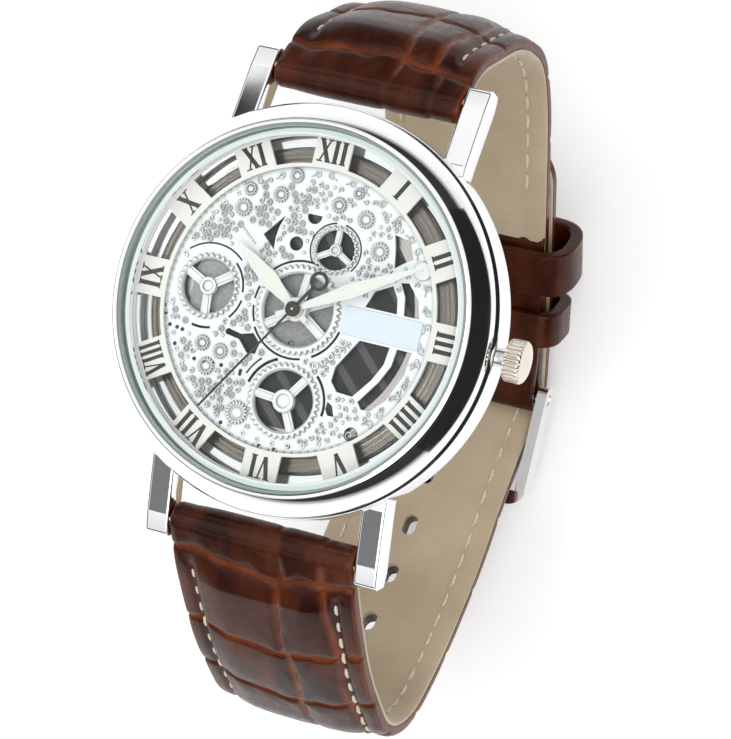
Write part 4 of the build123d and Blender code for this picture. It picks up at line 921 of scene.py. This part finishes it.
def soften(node, width, segments=3):
    """Rounds a CAD piece's sharp edges."""
    obj = nodes[node]
    modifier = obj.modifiers.new("soft_edges", "BEVEL")
    modifier.width = width * MM
    modifier.segments = segments
    modifier.limit_method = "ANGLE"
    modifier.angle_limit = math.radians(40)
    modifier.harden_normals = True


for node, width in (("buckle_frame", 0.28), ("buckle_tongue", 0.2), ("hour_hand", 0.035), ("minute_hand", 0.035),
                    ("second_hand", 0.03), ("name_plate", 0.03), ("hour_ring", 0.05), ("dial", 0.035),
                    ("case_back", 0.08), ("movement_holder", 0.04)):
    soften(node, width)

# ---------------------------------------------------------------- dial relief

DIAL_TOP = 5.7
LOW = DIAL_TOP - 0.02
WHEELS = (((0.0, 0.0), 1.15, 3.55, 4.42, 44, (-34, 27, 85, 146, 214), 0.95),
          ((-9.65, 0.3), 0.9, 2.65, 3.25, 30, (35, 155, 275), 0.9),
          ((0.65, -8.85), 1.15, 3.0, 3.75, 36, (55, 175, 297), 0.85),
          ((2.35, 6.4), 0.62, 1.95, 2.42, 24, (90, 210, 330), 0.6))
EMBOSSED = ((-3.2, 12.6, 0.75), (-7.6, 10.4, 0.7), (-4.4, 10.5, 0.8), (-7.9, 8.5, 0.9), (3.4, 12.2, 0.6),
            (1.7, 10.7, 0.8), (4.7, 9.9, 0.9), (6.8, 7.2, 0.95), (-8.9, -5.2, 0.8), (-6.9, -5.6, 0.8),
            (-8.0, -7.3, 0.9), (-3.8, -11.0, 1.2))
DOTS = ((-13.7, -2.5), (-13.4, -3.2), (-12.7, -4.2), (-11.9, -4.3), (-11.3, -4.4), (-11.75, -5.9), (-9.4, -6.9),
        (-8.4, -6.9), (-7.4, -6.9), (-6.5, -6.9), (-5.2, -12.3), (-4.7, -13.2), (-4.0, -13.3), (0.8, -13.6),
        (-0.8, -13.6), (2.2, -13.0))


def toothed(at, inner, outer, teeth, low, high, depth=0.24, edge=0.1):
    """A raised rim with teeth on its outside."""
    rings = []
    for i in range(teeth * 8):
        angle = 2 * math.pi * i / (teeth * 8)
        wave = max(-1.0, min(1.0, 2.2 * math.cos(teeth * angle)))
        r = outer - depth * (0.5 - 0.5 * wave)
        c, s = math.cos(angle), math.sin(angle)
        section = ((inner, low), (inner, high - edge), (inner + edge, high), (r - edge, high), (r, high - edge),
                   (r, low))
        rings.append([(at[0] + q * c, at[1] + q * s, h) for q, h in section])
    return loft(rings, closed_path=True)


def bead(x, y, radius, height):
    """A small raised dome."""
    rings = []
    for t in (0, 0.45, 0.75, 0.93):
        size = radius * math.sqrt(1 - t * t)
        rings.append([(x + size * math.cos(math.pi * k / 6), y + size * math.sin(math.pi * k / 6),
                       LOW + (height + 0.02) * t) for k in range(12)])
    return loft(rings)


def engraved_wire(points, width, height):
    """A raised line with a round top that follows points on the dial."""
    points = np.array(points, float)
    along = np.gradient(points, axis=0)
    along /= np.linalg.norm(along, axis=1)[:, None]
    across = np.stack([-along[:, 1], along[:, 0]], axis=1)
    rings = []
    for i, (p, n) in enumerate(zip(points, across)):
        taper = 0.35 + 0.65 * math.sin(math.pi * (i + 0.5) / len(points)) ** 0.6
        ring = [(p[0] + n[0] * width * taper * math.cos(a), p[1] + n[1] * width * taper * math.cos(a),
                 LOW + (height + 0.02) * max(0.0, math.sin(a)) * taper) for a in np.linspace(0, math.pi, 6)]
        rings.append(ring)
    return loft(rings)


def scroll(radius, angle, size, hand):
    """A curl with a leaf, standing on the dial's edge."""
    c, s = math.cos(math.radians(angle)), math.sin(math.radians(angle))
    curl = []
    for t in np.linspace(0, 1, 22):
        a = math.radians(hand * (430 * t) - 40)
        r = size * (1 - 0.78 * t)
        curl.append((radius + r * math.cos(a), hand * 0.2 + r * math.sin(a)))
    leaf = [(radius - size * 0.9 + 0.5 * size * t, hand * size * (-1.1 + 0.9 * t * t)) for t in np.linspace(0, 1, 8)]
    parts = []
    for line in (curl, leaf):
        turned = [(c * x - s * y, s * x + c * y) for x, y in line]
        parts.append(engraved_wire(turned, 0.085, 0.14))
    return parts


def turned_at(radius, angle):
    return radius * math.cos(math.radians(angle)), radius * math.sin(math.radians(angle))


parts = []
for at, hub, inner, outer, teeth, spokes, width in WHEELS:
    parts.append(toothed(at, inner + 0.05, outer, teeth, LOW, DIAL_TOP + 0.24, 0.3, 0.14))
    parts.append(ring(hub - 0.06, hub * 0.62, LOW, DIAL_TOP + 0.22, 0.06, at))
    for angle in spokes:
        bar = rounded([(hub - 0.1, -width * 0.22), (inner + 0.1, -width * 0.3), (inner + 0.1, width * 0.3),
                       (hub - 0.1, width * 0.22)], 0.04, 2)
        parts.append(prism(bar, LOW, DIAL_TOP + 0.1, 0.05, at, angle))
for x, y, radius in EMBOSSED:
    teeth = int(9 + 8 * radius)
    parts.append(toothed((x, y), radius * 0.62, radius, teeth, LOW, DIAL_TOP + 0.22, 0.2 * radius + 0.05, 0.1))
    parts.append(bead(x, y, radius * 0.5, 0.2))
parts.append(ring(0.9, 0.02, LOW, DIAL_TOP + 0.24, 0.1, (11.5, 6.3), 32))
for angle in range(-58, -18, 9):
    x, y = turned_at(5.7, angle)
    parts.append(ring(0.36, 0.2, LOW, DIAL_TOP + 0.13, 0.04, (x, y), 20))
for k in range(7):
    parts.append(bead(-7.6 + 0.27 * k, 6.7 - 0.22 * k, 0.14, 0.13))
for k, angle in enumerate(range(-52, 58, 8)):
    if not 24 < angle < 30:
        parts += scroll(13.2, angle, 0.42, 1 if k % 2 else -1)
for k, angle in enumerate(range(64, 124, 8)):
    parts += scroll(13.25, angle, 0.38, 1 if k % 2 else -1)
for angle in np.arange(128, 304, 3.4):
    x, y = turned_at(13.72, angle)
    parts.append(bead(x, y, 0.16, 0.14))
for angle in np.arange(-54, 58, 3.4):
    x, y = turned_at(13.78, angle)
    parts.append(bead(x, y, 0.12, 0.12))
for angle in np.arange(132, 300, 7.0):
    x, y = turned_at(13.1, angle)
    if math.dist((x, y), (-9.65, 0.3)) > 3.9:
        parts.append(ring(0.24, 0.12, LOW, DIAL_TOP + 0.12, 0.03, (x, y), 16))


def dial_surface():
    """The CAD dial as a tree for ray tests."""
    bpy.context.view_layer.update()
    plate = nodes["dial"]
    points = [plate.matrix_world @ v.co for v in plate.data.vertices]
    return BVHTree.FromPolygons(points, [tuple(f.vertices) for f in plate.data.polygons])


SURFACE = dial_surface()


def on_plate(x, y, reach):
    """True if the dial is whole for a distance round a point."""
    for k in range(9):
        a, r = 2 * math.pi * k / 8, reach if k < 8 else 0.0
        start = Vector(((x + r * math.cos(a)) * MM, (y + r * math.sin(a)) * MM, 0.008))
        hit = SURFACE.ray_cast(start, Vector((0, 0, -1)))[0]
        if hit is None or abs(hit.z / MM - DIAL_TOP) > 0.05:
            return False
    return True


def taken(x, y, reach):
    """True if a point is near a wheel, a ring, the name plate, a dot or the turned edge."""
    if math.hypot(x, y) + reach > 13.45:
        return True
    if any(math.dist((x, y), at) < outer + 0.2 + reach for at, _, _, outer, _, _, _ in WHEELS):
        return True
    if any(math.dist((x, y), (a, b)) < r + 0.12 + reach for a, b, r in EMBOSSED + ((11.5, 6.3, 0.9),)):
        return True
    if any(math.dist((x, y), spot) < 0.3 + reach for spot in DOTS + ((-4.4, -7.15),)):
        return True
    return 4.6 - reach < x < 13.2 + reach and -1.5 - reach < y < 1.85 + reach


def curl(x, y, size, turn, hand):
    """A small engraved curl that ends in a bead."""
    line = []
    for t in np.linspace(0, 1, 13):
        a = turn + hand * 5.6 * t
        r = size * (1 - 0.8 * t)
        line.append((x + r * math.cos(a), y + r * math.sin(a)))
    return engraved_wire(line, 0.1, 0.2)


rng = np.random.default_rng(21)
PITCH = 0.78
for row in range(-18, 19):
    for column in range(-18, 19):
        x = PITCH * (column + 0.5 * (row % 2)) + rng.uniform(-0.1, 0.1)
        y = PITCH * 0.87 * row + rng.uniform(-0.1, 0.1)
        turn = rng.uniform(0, 2 * math.pi)
        kind = rng.uniform()
        plain = math.hypot(x, y) < 4.9 or math.dist((x, y), (-6.4, 5.6)) < 1.6
        if plain or taken(x, y, 0.3) or not on_plate(x, y, 0.34):
            continue
        if x < -1 and kind < 0.6:
            parts.append(toothed((x, y), 0.16, 0.34, 8, LOW, DIAL_TOP + 0.18, 0.1, 0.06))
        elif kind < 0.85:
            parts.append(curl(x, y, 0.3, turn, 1 if kind < 0.5 else -1))
        else:
            parts.append(bead(x, y, 0.2, 0.18))
relief = add_mesh("dial_relief", *join_parts(parts), MATERIALS["dial_silver"], "root", (), "dial_silver")
recalculate(relief)

# ---------------------------------------------------------------- printing


def stroke(start, end, width):
    """A straight pen stroke as an outline."""
    (x0, y0), (x1, y1) = start, end
    length = math.dist(start, end)
    dx, dy = (y1 - y0) / length * width / 2, -(x1 - x0) / length * width / 2
    return [(x0 + dx, y0 + dy), (x1 + dx, y1 + dy), (x1 - dx, y1 - dy), (x0 - dx, y0 - dy)]


def letter(kind):
    """A serif I, V or X one unit high, as (advance, outlines)."""
    thick, thin, serif = 0.19, 0.075, 0.06

    def foot(x, y):
        return stroke((x - 0.14, y), (x + 0.14, y), serif)

    low, high = 0.025, 0.975
    if kind == "I":
        return 0.36, [stroke((0.18, 0.02), (0.18, 0.98), thick), foot(0.18, low), foot(0.18, high)]
    if kind == "V":
        return 0.66, [stroke((0.13, 0.98), (0.34, 0.02), thick), stroke((0.54, 0.98), (0.36, 0.02), thin),
                      foot(0.14, high), foot(0.53, high)]
    return 0.66, [stroke((0.13, 0.98), (0.53, 0.02), thick), stroke((0.52, 0.98), (0.14, 0.02), thin),
                  foot(0.14, high), foot(0.52, high), foot(0.14, low), foot(0.53, low)]


def numeral(text, hour):
    """A Roman numeral on its hour plate, its foot towards the centre."""
    glyphs = [letter(kind) for kind in text]
    total = sum(advance for advance, _ in glyphs)
    height = 2.25
    squeeze = min(1.0, 3.2 / (total * height))
    x = -total / 2
    parts = []
    layer = 0
    for advance, outlines in glyphs:
        for outline in outlines:
            placed = [((x + px) * height * squeeze, 15.55 + (py - 0.5) * height) for px, py in outline]
            layer += 1
            parts.append(prism(placed, 6.19, 6.225 + 0.0006 * layer, 0.008, (0, 0), -30 * hour))
        x += advance
    return parts


def ink_look():
    """Printed ink with a faint grain."""
    m = Nodes("numeral_ink_look", (0.012, 0.012, 0.014), 0.0, 0.35)
    fine = m.noise(5.0, 5.0)
    m.join(m.mix(m.grey_ramp(fine, 0.0, 0.6), (0.010, 0.010, 0.012), (0.028, 0.028, 0.03)),
           m.shader.inputs["Base Color"])
    m.join(m.grey_ramp(fine, 0.28, 0.45), m.shader.inputs["Roughness"])
    m.bump(fine, 0.1, 0.005)
    return m.mat


INK = ink_look()
parts = []
for hour, text in enumerate(("XII", "I", "II", "III", "IIII", "V", "VI", "VII", "VIII", "IX", "X", "XI")):
    parts += numeral(text, hour)
circle = [(math.cos(2 * math.pi * k / 16), math.sin(2 * math.pi * k / 16)) for k in range(16)]
for x, y in DOTS:
    parts.append(prism([(0.2 * a, 0.2 * b) for a, b in circle], LOW, DIAL_TOP + 0.03, 0.01, (x, y)))
# A dark oval mark near the second hand, drawn in the same ink as the dots.
pill = [(0.17 * a, 0.17 * b + math.copysign(0.18, b)) for a, b in circle]
parts.append(prism(pill, LOW, DIAL_TOP + 0.03, 0.01, (-4.4, -7.15)))
ink = add_mesh("dial_printing", *join_parts(parts), INK, "root", (), "numeral_ink", smooth=False)
recalculate(ink)

# ---------------------------------------------------------------- stage

FLOOR_Z = cad_low.z - 0.0004


def card(name, centre, size, color, strength=0.0, target=(0, 0, 0), camera=False):
    """A flat studio card facing a target; black cards only take light away."""
    mesh = bpy.data.meshes.new(name)
    w, h = size[0] / 2, size[1] / 2
    mesh.from_pydata([(-w, -h, 0), (w, -h, 0), (w, h, 0), (-w, h, 0)], [], [(0, 1, 2, 3)])
    obj = bpy.data.objects.new(name, mesh)
    bpy.context.scene.collection.objects.link(obj)
    obj.location = centre
    if target is not None:
        obj.rotation_mode = "QUATERNION"
        obj.rotation_quaternion = (Vector(target) - Vector(centre)).to_track_quat("Z", "Y")
    m = Nodes(name + "_look", color, 0.0, 0.9)
    if strength:
        m.set("Emission Color", (*color, 1))
        m.set("Emission Strength", strength)
    mesh.materials.append(m.mat)
    obj.visible_camera = camera
    return obj


floor = card("floor", (0, 0, FLOOR_Z), (4, 4), (0.96, 0.96, 0.96), 0.22, target=None, camera=True)
card("black_right", (0.55, 0.06, 0.06), (1.3, 0.30), (0.004, 0.004, 0.004)).visible_shadow = False
card("black_upper", (-0.288, 0.236, 0.481), (0.26, 0.16), (0.004, 0.004, 0.004),
     target=(-0.088, -0.074, 0.011)).visible_shadow = False
card("grey_lower", (-0.22, -0.33, 0.43), (0.16, 0.12), (0.22, 0.22, 0.22)).visible_shadow = False

world = bpy.data.worlds.new("studio")
bpy.context.scene.world = world
world.use_nodes = True

def studio_sky(tree):
    """White overhead and dark round the horizon, as a room with one large soft ceiling light."""
    source = tree.nodes.new("ShaderNodeTexCoord")
    split = tree.nodes.new("ShaderNodeSeparateXYZ")
    ramp = tree.nodes.new("ShaderNodeValToRGB")
    elements = ramp.color_ramp.elements
    stops = ((0.0, 0.5), (0.05, 0.03), (0.35, 0.05), (0.52, 0.70), (0.66, 1.0))
    while len(elements) < len(stops):
        elements.new(0.5)
    for element, (position, level) in zip(elements, stops):
        element.position = position
        element.color = (level, level, level, 1)
    tree.links.new(source.outputs["Generated"], split.inputs[0])
    tree.links.new(split.outputs["Z"], ramp.inputs["Fac"])
    tree.links.new(ramp.outputs["Color"], tree.nodes["Background"].inputs["Color"])
    tree.nodes["Background"].inputs["Strength"].default_value = 1.12


studio_sky(world.node_tree)


def area(name, location, size, power, target=(0, 0, 0)):
    light = bpy.data.lights.new(name, "AREA")
    light.shape = "RECTANGLE"
    light.size, light.size_y = size
    light.energy = power
    obj = bpy.data.objects.new(name, light)
    bpy.context.scene.collection.objects.link(obj)
    obj.location = location
    obj.rotation_mode = "QUATERNION"
    obj.rotation_quaternion = (Vector(location) - Vector(target)).to_track_quat("Z", "Y")
    return obj


area("key", (0.30, -0.35, 0.55), (0.5, 0.5), 1.6)
area("fill", (-0.45, 0.1, 0.5), (0.4, 0.3), 0.5)

# ---------------------------------------------------------------- camera

FOCAL_PIXELS = 3500
IMAGE_HEIGHT = 739
SENSOR = 36.0
camera_data = bpy.data.cameras.new("camera")
camera_data.sensor_width = SENSOR
camera_data.lens = FOCAL_PIXELS / IMAGE_HEIGHT * SENSOR
camera = bpy.data.objects.new("camera", camera_data)
bpy.context.scene.collection.objects.link(camera)
forward = Vector((-0.3355, -0.0181, -0.9419)).normalized()
upward = Vector((-0.2203, 0.9736, 0.0598))
upward = (upward - upward.dot(forward) * forward).normalized()
right = forward.cross(upward)
camera.matrix_world = Matrix(((right.x, upward.x, -forward.x, 0.1202),
                              (right.y, upward.y, -forward.y, 0.0020),
                              (right.z, upward.z, -forward.z, 0.3205),
                              (0, 0, 0, 1)))
bpy.context.scene.camera = camera
bpy.context.scene.view_settings.view_transform = "Standard"
